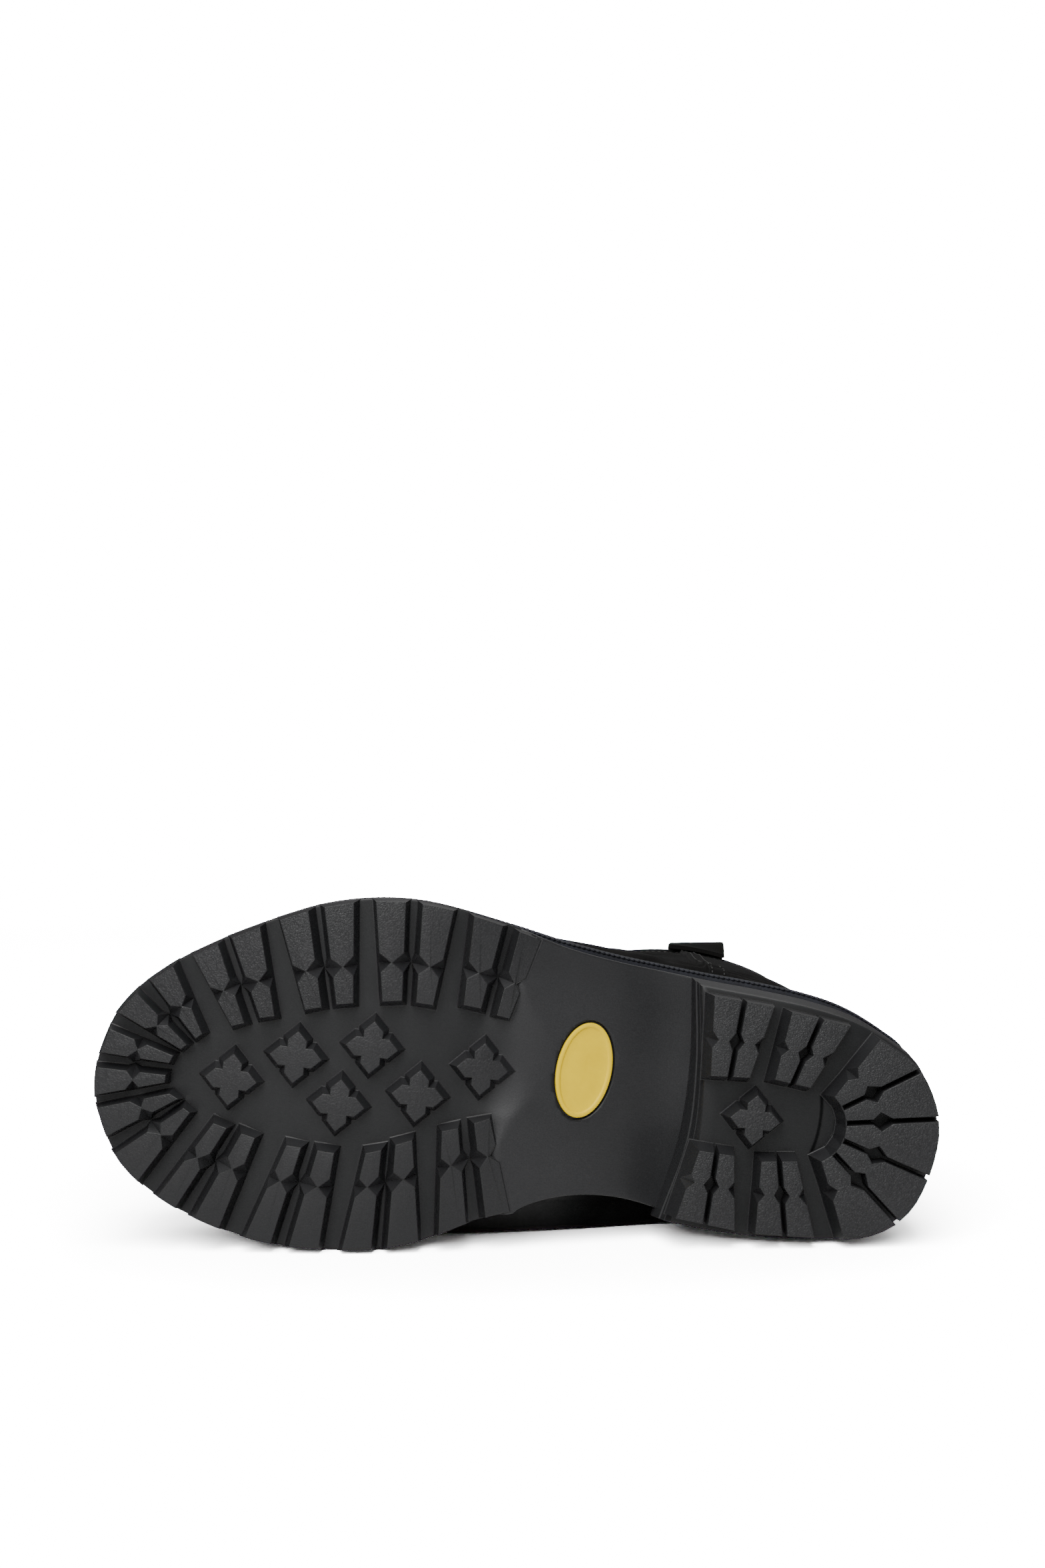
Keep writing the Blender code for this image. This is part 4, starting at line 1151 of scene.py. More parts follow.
@dataclass
class Outsole:
    """Rubber outsole: base with shank, forefoot lugs and studs, heel block and heel lugs, badge recess."""

    lugs: tuple[Lug, ...] = (
        Lug((144.5, 109.0), (152.5, 112.0), (156.1, 81.4), (160.7, 82.7), 0.58, 1.0, 2.2, 0.4),
        Lug((158.2, 114.5), (168.7, 117.6), (166.2, 85.2), (172.5, 86.6), 0.605, 2.1, 1.8, 0.4),
        Lug((175.7, 119.9), (187.0, 122.3), (183.2, 86.7), (189.3, 87.7), 0.615, 1.3, 1.5, 0.5),
        Lug((192.7, 122.9), (203.4, 123.1), (194.1, 88.4), (201.2, 88.2), 0.61, 1.4, 0.8, 0.7),
        Lug((210.9, 122.9), (221.6, 121.6), (211.3, 87.7), (217.4, 87.2), 0.625, 1.7, 1.4, 0.85),
        Lug((226.9, 120.0), (237.2, 117.1), (222.4, 86.3), (228.4, 85.4), 0.6, 2.3, 0.5, 0.95),
        Lug((244.3, 115.4), (254.3, 110.8), (239.0, 83.1), (244.4, 82.5), 0.58, 1.6, 1.2, 1.0),
        Lug((259.1, 108.9), (268.2, 104.6), (249.7, 80.7), (254.4, 79.6), 0.55, 1.9, 0.6, 1.0),
        Lug((275.0, 101.0), (283.5, 95.8), (264.7, 76.9), (267.2, 75.1), 0.53, 1.9, 1.2, 0.9),
        Lug((288.4, 91.5), (294.8, 84.1), (270.2, 73.0), (272.5, 71.3), 0.53, 1.2, 1.1, 0.8),
        Lug((298.1, 78.5), (301.5, 69.9), (275.1, 69.1), (276.6, 66.4), 0.49, 1.0, 0.9, 0.7),
        Lug((302.5, 64.6), (303.4, 54.7), (277.8, 62.3), (278.2, 59.5), 0.53, 1.2, 0.9, 0.6),
        Lug((301.9, 50.5), (299.3, 40.2), (276.6, 55.8), (273.4, 53.8), 0.55, 0.9, 1.2, 0.45),
        Lug((294.6, 35.2), (287.4, 25.3), (271.6, 50.8), (269.2, 49.0), 0.575, 1.2, 1.9, 0.35),
        Lug((280.8, 20.0), (274.2, 16.1), (261.0, 45.5), (256.1, 43.7), 0.58, 1.3, 2.0, 0.28),
        Lug((267.7, 12.9), (258.6, 9.6), (251.1, 42.0), (246.1, 40.3), 0.62, 1.9, 2.2, 0.25),
        Lug((249.9, 6.1), (240.6, 4.0), (235.1, 37.9), (229.8, 37.0), 0.63, 1.2, 2.0, 0.22),
        Lug((234.3, 3.1), (223.9, 1.9), (224.2, 36.1), (218.2, 35.1), 0.634, 1.5, 1.7, 0.22),
        Lug((215.8, 1.3), (205.5, 1.4), (207.3, 35.0), (201.6, 36.1), 0.64, 1.1, 1.8, 0.22),
        Lug((200.0, 2.2), (188.9, 4.3), (196.8, 37.9), (190.7, 39.4), 0.637, 1.8, 1.0, 0.22),
        Lug((181.7, 5.6), (171.7, 9.1), (180.4, 42.3), (174.5, 43.2), 0.64, 1.5, 0.9, 0.25),
        Lug((165.0, 11.6), (156.2, 13.3), (169.0, 44.8), (163.2, 46.4), 0.62, 2.2, 1.2, 0.25),
    )
    face_inset: float = 1.0
    neck: float = 0.8
    valley_share: float = 0.8
    end_lean: float = 1.8
    toe_end_lean: float = 1.4
    toe_from: float = 264.0
    stud_drop: float = 0.5
    studs: tuple[Pair, ...] = (
        (254.8, 60.8), (231.8, 68.8), (204.9, 72.1), (216.8, 51.8), (188.8, 54.8), (165.8, 63.8))
    heel_stud: Pair = (68.9, 45.0)
    heel_lug: float = 8.0
    heel_taper: float = 2.6
    heel_levels: tuple[tuple[float, float, float], ...] = (
        (24.5, 0.0, 0.0), (22.0, 0.0, 0.0), (18.0, 0.16, 0.3), (15.4, 0.27, 0.45), (15.2, 0.27, 1.0),
        (12.0, 0.40, 1.3), (11.8, 0.40, 1.9), (11.0, 0.42, 1.9), (10.8, 0.42, 1.3), (8.9, 0.55, 1.5),
        (8.3, 0.62, 1.75), (8.0, 0.82, 2.2))
    breast: tuple[Pair, ...] = ((88.5, 91.0), (87.6, 62.0), (90.0, 36.0), (100.7, 8.0))
    breast_flare: Row = (0.0, 1.8, 3.6, 3.2)
    flare_end: float = 0.6
    heel_middle: Pair = (48.0, 43.0)
    slit: float = 1.8
    slit_lean: float = 0.2
    pit_lean: float = 0.45
    block_back_lean: float = 0.6
    heel_end_lean: float = 2.2
    blocks: tuple[tuple[Pair, ...], ...] = (
        ((83.4, 89.4), (61.7, 85.3), (84.9, 60.8), (70.7, 60.0)),
        ((55.6, 83.4), (34.4, 78.2), (61.9, 59.3), (49.0, 56.2)),
        ((69.3, 4.6), (47.8, 2.9), (66.9, 30.4), (53.9, 30.3)),
        ((97.6, 10.7), (76.4, 5.9), (89.1, 34.6), (76.4, 32.5)),
    )
    block_front_leans: Row = (2.2, 2.0, 1.3, 3.0)
    ring_centre: Pair = (50.0, 43.0)
    ring_inner: float = 13.7
    ring_bounds: Row = (129.5, 154.8, 177.9, 204.0, 227.6, 254.0)
    ring_leans: Pair = (2.0, 2.3)
    crescent_way: float = 191.0
    crescent_from: float = 3.8
    crescent_bow: float = 1.2
    crescent_half: float = 10.4
    crescent_depth: float = 0.9

    def forefoot(self) -> Patch:
        """Lugs round the forefoot; each outer end follows the walking edge.

        Returns:
            The lugs as one patch.
        """
        edge = OUTLINE.inset(self.face_inset)
        arcs = np.linspace(0, edge.arcs()[-1], 4000, endpoint=False)
        places = edge.along(arcs)
        column = {part.name: np.array([getattr(lug, part.name) for lug in self.lugs]) for part in fields(Lug)}

        def snapped(corners: Array) -> Array:
            """Lengths along the edge of its places nearest to the corners."""
            return arcs[np.argmin(np.linalg.norm(places[None] - corners[:, None], axis=2), axis=1)]

        ends = [snapped(column[name])[:, None] for name in ("outer_a", "outer_b")]
        outer = edge.along(ends[0] + (ends[1] - ends[0]) * np.linspace(0, 1, 5)[None])
        inner_a, inner_b, pinch = column["inner_a"], column["inner_b"], column["pinch"]
        width = np.linalg.norm((outer[:, -1] - outer[:, 0]) * (1 - pinch[:, None])
                               + (inner_b - inner_a) * pinch[:, None], axis=1)
        lean = np.column_stack([column["lean_a"], column["lean_b"]])
        mid_a = outer[:, 0] + pinch[:, None] * (inner_a - outer[:, 0])
        mid_b = outer[:, -1] + pinch[:, None] * (inner_b - outer[:, -1])
        half_gap = np.linalg.norm(mid_a[1::2] - mid_b[::2], axis=1) / 2 - 0.1
        spread = lean * self.valley_share
        spread[::2, 1], spread[1::2, 0] = half_gap, half_gap
        end = np.where(inner_a[:, 0] > self.toe_from, self.toe_end_lean, self.end_lean)
        notch = np.column_stack([(width - self.neck) / 2] * 2)
        for flush_side in ((0, 0), (-1, 1)):
            spread[flush_side] = self.pit_lean - notch[flush_side]
        return Lugs(outer, inner_a, inner_b, pinch, notch, spread, lean, end, column["grain"],
                    LAST.floor, LAST.tread).patch()

    def heel_sides(self) -> Patch:
        """Side blocks in halves with a slit between.

        Returns:
            The halves as one patch.
        """
        outer, inner_a, inner_b, lean = [], [], [], []
        for block, front in zip(self.blocks, self.block_front_leans):
            fo, bo, fi, bi = (np.array(p) for p in block)
            gap_out, gap_in = self.slit / math.dist(fo, bo), self.slit / math.dist(fi, bi)
            for low, high in ((0.0, 0.5), (0.5, 1.0)):
                ends = [low + gap_out * low, high - gap_out * (1 - high)]
                outer.append(fo + (bo - fo) * np.linspace(*ends, 5)[:, None])
                inner_a.append(fi + (bi - fi) * (low + gap_in * low))
                inner_b.append(fi + (bi - fi) * (high - gap_in * (1 - high)))
            lean += [(front, self.slit_lean), (self.slit_lean, self.block_back_lean)]
        pits = np.tile([[False, True], [True, False]], (len(self.blocks), 1))
        return self.heel_set(outer, inner_a, inner_b, lean, pits, pinch=0.54, notch=(2.2, 1.75), reach=0.11)

    def heel_back(self) -> Patch:
        """Sectors round the back: their sides stand half a slit away from the rays of a ring.

        Returns:
            The sectors as one patch.
        """
        edge = OUTLINE.inset(self.heel_taper).points
        centre = np.array(self.ring_centre)
        polar = np.degrees(np.arctan2(edge[:, 1] - centre[1], edge[:, 0] - centre[0])) % 360
        order = np.argsort(polar)
        radius = np.hypot(*(edge[order] - centre).T)
        bounds = np.array(self.ring_bounds)
        angle = bounds[:-1, None] + np.diff(bounds)[:, None] * np.linspace(0, 1, 5)[None]
        rim = centre + np.interp(angle, polar[order], radius)[..., None] * self.ray(angle)
        shift = self.slit / 2 * np.linspace(1, -1, 5)[None, :, None] * self.ray(angle + 90)
        inner = centre + self.ring_inner * self.ray(angle) + shift
        leans = np.full((len(angle), 2), self.slit_lean)
        leans[0, 0], leans[-1, 1] = self.ring_leans
        pits = np.full(leans.shape, True)
        pits[0, 0] = pits[-1, 1] = False
        return self.heel_set(rim + shift, inner[:, 0], inner[:, -1], leans, pits,
                             pinch=0.60, notch=(2.6, 2.5), reach=0.105)

    def heel_set(self, outer: Array, inner_a: Array, inner_b: Array, lean: Array, pits: Array, pinch: float,
                 notch: Pair, reach: float) -> Patch:
        """Lugs of the heel that share their pinch.

        Args:
            outer: five places of each outer end.
            inner_a: first inner corner of each lug.
            inner_b: second inner corner of each lug.
            lean: lean of both sides of each lug.
            pits: for both sides, whether the notch is a pit.
            pinch: place of the notches as a share of the length.
            notch: depth of plain notches and of pits.
            reach: half a notch's length as a share of the lug's.

        Returns:
            The lugs as one patch.
        """
        count = len(outer)
        lean = np.array(lean)
        depth = np.where(pits, notch[1], notch[0])
        spread = np.where(pits, self.pit_lean - depth, lean * self.valley_share)
        return Lugs(np.array(outer), np.array(inner_a), np.array(inner_b), np.full(count, pinch), depth,
                    spread, lean, np.full(count, self.heel_end_lean), np.ones(count), flat_at(self.heel_lug),
                    flat_at(0.0), depth=self.heel_lug, facet=3.8, valley=6.0, reach=reach, outer_lean=0.3,
                    bevel=0.28, sunk=1.0, hollow=0.35).patch()

    def ring_collar(self) -> Patch:
        """Low wall inside the ring lugs that ends their slits: a ridge turned about the ring's centre."""
        angle = np.linspace(self.ring_bounds[0] + 4, self.ring_bounds[-1] - 4, 60)
        root, foot = self.heel_lug + 0.8, -self.heel_end_lean
        profile = [(foot, root), (foot, self.heel_lug), (-0.15, 0.5), (0.3, 0.45), (1.6, 3.5), (1.8, root)]
        rows = [at_height(np.array(self.ring_centre) + (self.ring_inner + out) * self.ray(angle), z)
                for out, z in profile]
        return capped(np.stack(rows, axis=1))

    @staticmethod
    def ray(degrees: Array | float) -> Array:
        """Unit vector at an angle in degrees."""
        a = np.radians(degrees)
        return np.stack([np.cos(a), np.sin(a)], axis=-1)

    def heel_ring(self, taper: float, shift: float, count: int = 150, front: int = 40) -> Array:
        """Heel outline at one level: round the back, then along the breast, which flares towards the shank.

        Args:
            taper: share of the walls' taper.
            shift: how far the breast stands back.
            count: places round the back.
            front: places along the breast, with both corners.

        Returns:
            Places of the outline.
        """
        edge = OUTLINE.inset(0.05 + self.heel_taper * taper)
        line = np.array(self.breast)
        line[:, 0] += np.array(self.breast_flare) * (1 - min(taper / self.flare_end, 1.0)) - shift
        breast = smooth_curve(line, 12)
        outer, inner = edge.halves()
        total = edge.arcs()
        start = np.interp(breast[0, 0], outer[:, 0], total[:len(outer)])
        end = np.interp(breast[-1, 0], inner[:, 0], total[-1] - travelled(inner))
        back = edge.along(np.linspace(end - total[-1], start, count))
        way = np.linspace(0, len(breast) - 1, front)[1:-1]
        line = placed(way, np.arange(len(breast)), breast)
        share = np.linspace(0, 1, front)[1:-1, None]
        line += (back[-1] - breast[0]) * (1 - share) + (back[0] - breast[-1]) * share
        return np.vstack([back, line])

    def heel_block(self) -> Patch:
        """Heel under the sole: tapering walls, a stepped breast, a rounded lower edge and the floor.

        A row of heel_levels has the height, the share of the taper and how far the breast stands back.
        """
        rings = []
        for z, taper, shift in self.heel_levels:
            ring = self.heel_ring(taper, shift)
            ring[:, 1] += LAST.tuck(ring) * (1 - taper)
            rings.append(at_height(ring, z))
        top, last, walls = rings[0], rings[-1], len(rings) - 1

        def drawn(ring: Array, share: float) -> Array:
            """Ring drawn together towards the heel's middle."""
            return ring * (1 - share) + np.array([*self.heel_middle, ring[0, 2]]) * share

        wide, fine = np.linspace(0.12, 0.62, 5), np.linspace(0.66, 0.94, 34)
        for share in np.concatenate([wide, fine, [1.0]]):
            floor = drawn(last, share)
            floor[:, 2] += self.crescent(floor)
            rings.append(floor)
        lid = [drawn(top, share) for share in (1.0, 0.5)]
        grid = np.stack(lid + rings)
        # lid and walls lie open; the floor's rings stay at 0 and get the painted hollow shade
        marks = np.zeros(grid.shape[:2])
        marks[:len(lid) + walls] = WALL_MARK
        return grid_patch(grid, grain=marks)

    def crescent(self, places: Array) -> Array:
        """Depth of the crescent beside the ring: it deepens from a bowed chord to the ring's foot.

        Args:
            places: places on the heel's floor.

        Returns:
            The depth at each place.
        """
        away = places[:, :2] - np.array(self.ring_centre)
        along = away @ self.ray(self.crescent_way - 90) / self.crescent_half
        chord = self.crescent_from + self.crescent_bow * (1 - along ** 2)
        deep = ramp(away @ self.ray(self.crescent_way) - chord, 0.0, 1.5)
        beyond = np.hypot(*away.T) - self.ring_inner + self.heel_end_lean
        return self.crescent_depth * deep * (1 - ramp(beyond, -0.1, 0.5))

    @staticmethod
    def marks(places: Array) -> Array:
        """Mark of the base: the shank lies open and keeps its colour, and the floor between the lugs gets the
        painted hollow shade.
        """
        return WALL_MARK * (1 - ramp(LAST.floor(places) - LAST.face(places[:, 0]), 1.0, LAST.lug_depth - 0.5))

    def build(self, badge: "Badge") -> list[Piece]:
        """Make the base, the heel block and the tread.

        Args:
            badge: the inlay that needs a recess.

        Returns:
            The three pieces, in this order.
        """
        slab = SoleSlab(LAST.floor, lambda p: LAST.split(p[:, 0]) - CLEAR / 2, count=250, rings=40,
                        marks=self.marks)
        base = Piece("outsole_base", [slab.patch()])
        base.cut(badge.cutter())
        heel = Piece("outsole_heel", [self.heel_block()])
        studs = Crosses(np.array(self.studs), LAST.floor, lambda p: LAST.tread(p) + self.stud_drop)
        heel_stud = Crosses(np.array([self.heel_stud]), flat_at(self.heel_lug), flat_at(self.stud_drop),
                            tip=9.1, shoulder=(3.4, 5.7), notch=3.3, grain=0.9)
        blocks = [self.forefoot(), studs.patch(), self.heel_sides(), self.heel_back(), self.ring_collar(),
                  heel_stud.patch()]
        return [base, heel, Piece("outsole_tread", blocks, sharp=18)]


@dataclass
class Badge:
    """Plain oval inlay in the shank with a thin lip, and the recess that it sits in."""

    centre: Pair = (128.8, 62.0)
    length: float = 35.0
    width: float = 22.0
    turn: float = 103.0
    depth: float = 1.3
    lip: float = 0.45
    lip_width: float = 1.6
    slope_reach: float = 10.0

    def ring(self, cut: float, depth: float, count: int = 96) -> Array:
        """One oval of the inlay's own plane on the sloping shank.

        Args:
            cut: how much smaller the oval is all round than the badge.
            depth: how far it lies up in the sole.
            count: points of the oval.

        Returns:
            Points of the oval.
        """
        t = np.linspace(0, 2 * math.pi, count, endpoint=False)
        u, v = (self.length / 2 - cut) * np.cos(t), (self.width / 2 - cut) * np.sin(t)
        a = math.radians(self.turn)
        x, y = u * math.cos(a) - v * math.sin(a), u * math.sin(a) + v * math.cos(a)
        cx, cy = self.centre
        near = np.array([cx - self.slope_reach, cx, cx + self.slope_reach])
        low, here, high = LAST.face(near) + LAST.shank_step
        tilt = math.atan((high - low) / (2 * self.slope_reach))
        return np.column_stack([cx + x * math.cos(tilt) - depth * math.sin(tilt), cy + y,
                                here + x * math.sin(tilt) + depth * math.cos(tilt)])

    def solid(self, rows: list[Pair]) -> Patch:
        """Ovals from (cut, depth) rows; both ends are drawn together to a point."""
        first, last = rows[0], rows[-1]
        far = self.width / 2 - 0.02
        whole = [(far, first[1])] + rows + [((last[0] + far) / 2, last[1]), (far, last[1])]
        return grid_patch(np.stack([self.ring(cut, depth) for cut, depth in whole]))

    def cutter(self) -> Piece:
        """The recess, a little larger than the inlay, with a shallow bevelled rim."""
        rows = [(-0.9, -3.0), (-0.9, -0.25), (-0.45, 0.35), (-0.2, self.depth)]
        return Piece("badge_cutter", [self.solid(rows)])

    def build(self) -> Piece:
        """The inlay: rounded rim, thin lip, and a field that is crowned a little."""
        rim = CLEAR + self.lip_width
        edge = [(CLEAR, self.depth - CLEAR), (CLEAR, 0.45), (CLEAR + 0.12, 0.16), (CLEAR + 0.45, 0.0)]
        lip = [(rim - 0.3, 0.0), (rim, 0.12), (rim + 0.25, self.lip - 0.06), (rim + 0.5, self.lip)]
        field_rows = [(rim + 3.5, self.lip - 0.12), (rim + 6.5, self.lip - 0.2)]
        return Piece("sole_badge_inlay", [self.solid(edge + lip + field_rows)])


# ==== welt

@dataclass
class Braid:
    """Cord sewn all round between sole and upper: two rows of slanting stitches on a plain core."""

    inset: Pair = (0.55, 4.45)
    stand_out: float = 2.1
    forefoot: Pair = (125.0, 168.0)
    arch_in: float = 0.9
    height: float = WELT
    pitch: float = 1.95
    slant: float = 36.0
    stitch: tuple[float, float, float] = (4.1, 1.55, 1.25)
    stitch_rows: tuple[tuple[float, int, float], ...] = ((0.27, 1, 0.0), (0.75, -1, 0.5))

    def moved(self, ring: Array) -> Array:
        """Shift of the band's outside: outwards on the outer side, from the waist backwards.

        Args:
            ring: places along the welt, in order.

        Returns:
            The shift of each place, along the ring's normal.
        """
        outwards = -Outline(ring).normals()
        return outwards * self.stand_out * outer_share(ring) * (1 - ramp(ring[:, :1], *self.forefoot))

    def cut_back(self, ring: Array) -> Array:
        """Shift of the whole band outwards from the floor: in the arch and by the front of the heel.

        Args:
            ring: places along the welt.

        Returns:
            The shift of each place, along y.
        """
        inner = 1 - ramp(ring[:, 1], 15.0, 40.0)
        shift = inner * self.arch_in * LAST.undercut(ring[:, 0]) + LAST.tuck(ring)
        return np.column_stack([np.zeros(len(ring)), shift])

    def core(self) -> Patch:
        """A rounded band: an upright oval carried along the welt's edge."""
        rings = []
        for angle in np.linspace(0, 2 * math.pi, 20, endpoint=False):
            share = 0.5 - 0.5 * np.sign(np.cos(angle)) * abs(np.cos(angle)) ** 0.7
            inset = self.inset[0] + (self.inset[1] - self.inset[0]) * share
            ring = OUTLINE.inset(inset).ring(150)
            ring += (1 - share) * self.moved(ring) + self.cut_back(ring)
            rise = self.height / 2 * (1 + 0.96 * math.sin(angle))
            rings.append(at_height(ring, LAST.bed(ring[:, 0]) + rise))
        return grid_patch(np.stack(rings), wrap_rows=True)

    def stitches(self) -> Patch:
        """Both rows: a capsule at every pitch, turned up in one row and down in the other.

        A row of stitch_rows has its share of the height, the way of its slant, and its start in a pitch.
        """
        line = OUTLINE.inset(1.0)
        total = line.arcs()[-1]
        count = round(total / self.pitch)
        places, frames = [], []
        for level, way, start in self.stitch_rows:
            arcs = (np.arange(count) + start) * total / count
            spot, ahead = line.along(arcs), line.along(arcs + 0.5)
            base = LAST.bed(spot[:, 0])
            forward = unit(np.column_stack([ahead - spot, LAST.seat(ahead[:, 0]) - LAST.seat(spot[:, 0])]))
            out = unit(np.column_stack([-forward[:, 1], forward[:, 0], np.zeros(count)]))
            up = np.cross(forward, out)
            up *= np.sign(up[:, 2:])
            a = math.radians(self.slant) * way
            long, across = forward * math.cos(a) + up * math.sin(a), up * math.cos(a) - forward * math.sin(a)
            spot = spot + self.moved(spot) + self.cut_back(spot)
            places.append(at_height(spot, base + self.height * level))
            frames.append(np.stack([long, across, out], axis=1))
        return repeat_shape(capsule(*self.stitch, 8, 6), np.vstack(places), np.vstack(frames))

    def build(self) -> list[Piece]:
        """Make the core and the stitches."""
        return [Piece("welt_core", [self.core()]), Piece("welt_stitches", [self.stitches()], sharp=80)]


# ==== upper

@dataclass(frozen=True)
class Crease:
    """One soft fold: a trough along a short bowed line with a ridge beside it."""

    side: Side
    x: float
    z: float
    turn: float
    length: float
    width: float
    depth: float
    bow: float = 0.012

    def relief(self, x: Array, z: Array) -> Array:
        """Bell curves across the line, which fade out along it in another.

        Args:
            x: places along the foot.
            z: heights.

        Returns:
            Millimetres that the fold stands out.
        """
        a = math.radians(self.turn)
        along = (x - self.x) * math.cos(a) + (z - self.z) * math.sin(a)
        across = (z - self.z) * math.cos(a) - (x - self.x) * math.sin(a) + self.bow * along ** 2
        ridge = 0.55 * bell(across, self.width * 0.9, self.width * 0.8)
        return bell(along, 0.0, self.length / 2) * self.depth * (ridge - bell(across, 0.0, self.width * 0.6))


@dataclass
class Upper:
    """Suede upper as one closed shell, worked out in slices that follow the seat low down.

    Columns of the tables: rows has a slice's rise over the welt, its level, the share of the level, and x of
    its back; crest has x, z and y of the ridge over the instep; shaft has a height, x of its front, x of its
    widest place, and y of its inner and outer side; bulges has x and how far the outer side stands out.
    """

    rows: tuple[tuple[float, float, float, float], ...] = (
        (0.6, 44, 0.0, 2.9), (3.0, 45, 0.0, 2.6), (8.0, 52, 0.1, 1.0), (16.0, 58, 0.35, 0.4),
        (26.0, 66, 0.7, 1.2), (34.0, 74, 1.0, 2.8), (0.0, 83, 1.0, 5.2), (0.0, 93, 1.0, 7.4),
        (0.0, 104, 1.0, 9.2), (0.0, 117, 1.0, 10.4), (0.0, 132, 1.0, 11.0), (0.0, 150, 1.0, 11.2),
        (0.0, 171, 1.0, 11.0), (0.0, 193, 1.0, 10.6))
    crest: tuple[tuple[float, float, float], ...] = (
        (303.0, 40.0, 58), (301.0, 50.0, 58), (296.5, 58.0, 58), (288.0, 65.0, 58), (272.0, 72.5, 58),
        (250.0, 80.0, 58), (225.0, 88.5, 57), (203.0, 98.0, 56), (184.0, 109.0, 54), (169.0, 122.0, 52),
        (158.0, 137.0, 50), (150.5, 153.0, 48), (146.0, 172.0, 47), (143.5, 194.0, 46.5),
        (143.0, 205.0, 46.5))
    shaft: tuple[Row, ...] = (
        (40, 152, 96, 7.0, 90.0), (80, 152, 96, 3.5, 93.5), (110, 153, 95, 1.6, 95.6),
        (140, 152, 92, 0.8, 96.2), (170, 146.5, 88, 0.2, 94.6), (200, 143.3, 84, 0.0, 93.0))
    bulges: tuple[Pair, ...] = (
        (0, -1.0), (30, -0.5), (55, 1.5), (82, 3.2), (100, 3.3), (118, 2.6), (134, 0.8), (150, -1.4),
        (180, -2.2), (230, -2.0), (305, -1.5))
    cross_power: float = 2.3
    shaft_power: float = 2.2
    back_power: float = 1.95
    bulge_inner: float = -1.2
    swell: Pair = (-1.0, 10.0)
    waisted: float = 1.5
    shaft_starts: Pair = (50.0, 100.0)
    foot_ends: Pair = (115.0, 160.0)
    blend: float = 4.0
    arch: Row = (62.0, 88.0, 172.0, 222.0)
    arch_level: float = -0.8
    collar_tilt: float = 0.04
    plain_to: float = 104.0
    lean: float = 12.0
    span: float = 300.0
    inset: float = 5.45
    strip: Pair = (71.0, 79.5)
    strip_step: float = 0.9
    counter_front: float = 34.4
    counter_lean: float = 0.16
    counter_level: float = 46.0
    counter_top: float = 86.0
    counter_fall: float = 0.25
    counter_step: float = 0.85
    collar_band: float = 11.0
    collar_step: float = 0.7
    pucker: float = 0.30
    sway: float = 0.35
    wall: float = 3.0
    rest: float = 0.3
    creases: tuple[Crease, ...] = (
        Crease(Side.OUTER, 66, 61, -3, 96, 5.0, 1.5),
        Crease(Side.OUTER, 118, 92, 28, 34, 5.0, 1.1), Crease(Side.OUTER, 132, 108, 20, 30, 4.5, 0.9),
        Crease(Side.OUTER, 60, 86, -14, 40, 5.5, 1.2), Crease(Side.OUTER, 48, 104, -8, 34, 5.0, 0.8),
        Crease(Side.OUTER, 104, 132, 6, 44, 6.0, 0.9), Crease(Side.OUTER, 205, 62, -62, 26, 5.0, 0.9),
        Crease(Side.OUTER, 222, 56, -68, 24, 4.5, 0.8), Crease(Side.OUTER, 190, 72, -52, 26, 5.0, 0.7),
        Crease(Side.INNER, 118, 90, 26, 34, 5.0, 1.1), Crease(Side.INNER, 62, 88, -12, 38, 5.5, 1.1),
        Crease(Side.INNER, 100, 128, 4, 46, 6.0, 0.9), Crease(Side.INNER, 206, 60, -60, 26, 5.0, 0.9),
        Crease(Side.INNER, 224, 54, -66, 24, 4.5, 0.7), Crease(Side.INNER, 134, 110, 18, 28, 4.5, 0.8),
    )
    columns: Array = field(init=False)
    outside: Array = field(init=False)
    normals: Array = field(init=False)

    def __post_init__(self) -> None:
        """Work out the outside once: other pieces are placed on it."""
        even = self.span * (1 - np.cos(np.linspace(0, math.pi, 171))) / 2
        near = [np.linspace(at - 1.6, at + 1.6, 12) for at in self.strip]
        self.columns = np.unique(np.round(np.concatenate([even[1:-1], *near]), 2))
        self.outside, self.normals = self.surface()

    def slice_rows(self) -> Array:
        """The table's rows with smooth steps between them."""
        return smooth_curve(np.array(self.rows), 9)

    def height(self, row: Array, x: Array) -> Array:
        """Height of a slice: its rise over the welt and its level, blended by its share.

        Args:
            row: the slice's row, in the last axis.
            x: places along the foot.

        Returns:
            Heights at the places.
        """
        rise, level, share = row[..., 0], row[..., 1], np.clip(row[..., 2], 0.0, 1.0)
        follow = LAST.bed(x) + WELT + rise
        flat = level + self.collar_tilt * (x - 75.0) * (level / 193.0) ** 4
        return follow * (1 - share) + flat * share

    def front(self, row: Array) -> Array:
        """x where each slice meets the crest line, by halving the stretch fifty times.

        Args:
            row: the slices' rows.

        Returns:
            One x for each slice.
        """
        crest = self.crest_table(1)
        low, high = np.full(len(row), self.crest[-1][0]), np.full(len(row), self.crest[0][0])
        for _ in range(50):
            middle = (low + high) / 2
            over = crest(middle) > self.height(row, middle)
            low, high = np.where(over, middle, low), np.where(over, high, middle)
        return (low + high) / 2

    def crest_table(self, value: int) -> Table:
        """z or y of the crest against x."""
        return Table.of(self.crest[::-1], value)

    @staticmethod
    def soft_max(a: Array, b: Array, blend: float) -> Array:
        """Larger of two with a rounded corner: half their sum and half the root of their squares."""
        return 0.5 * (a + b + np.sqrt((a - b) ** 2 + blend ** 2)) - blend * 0.25

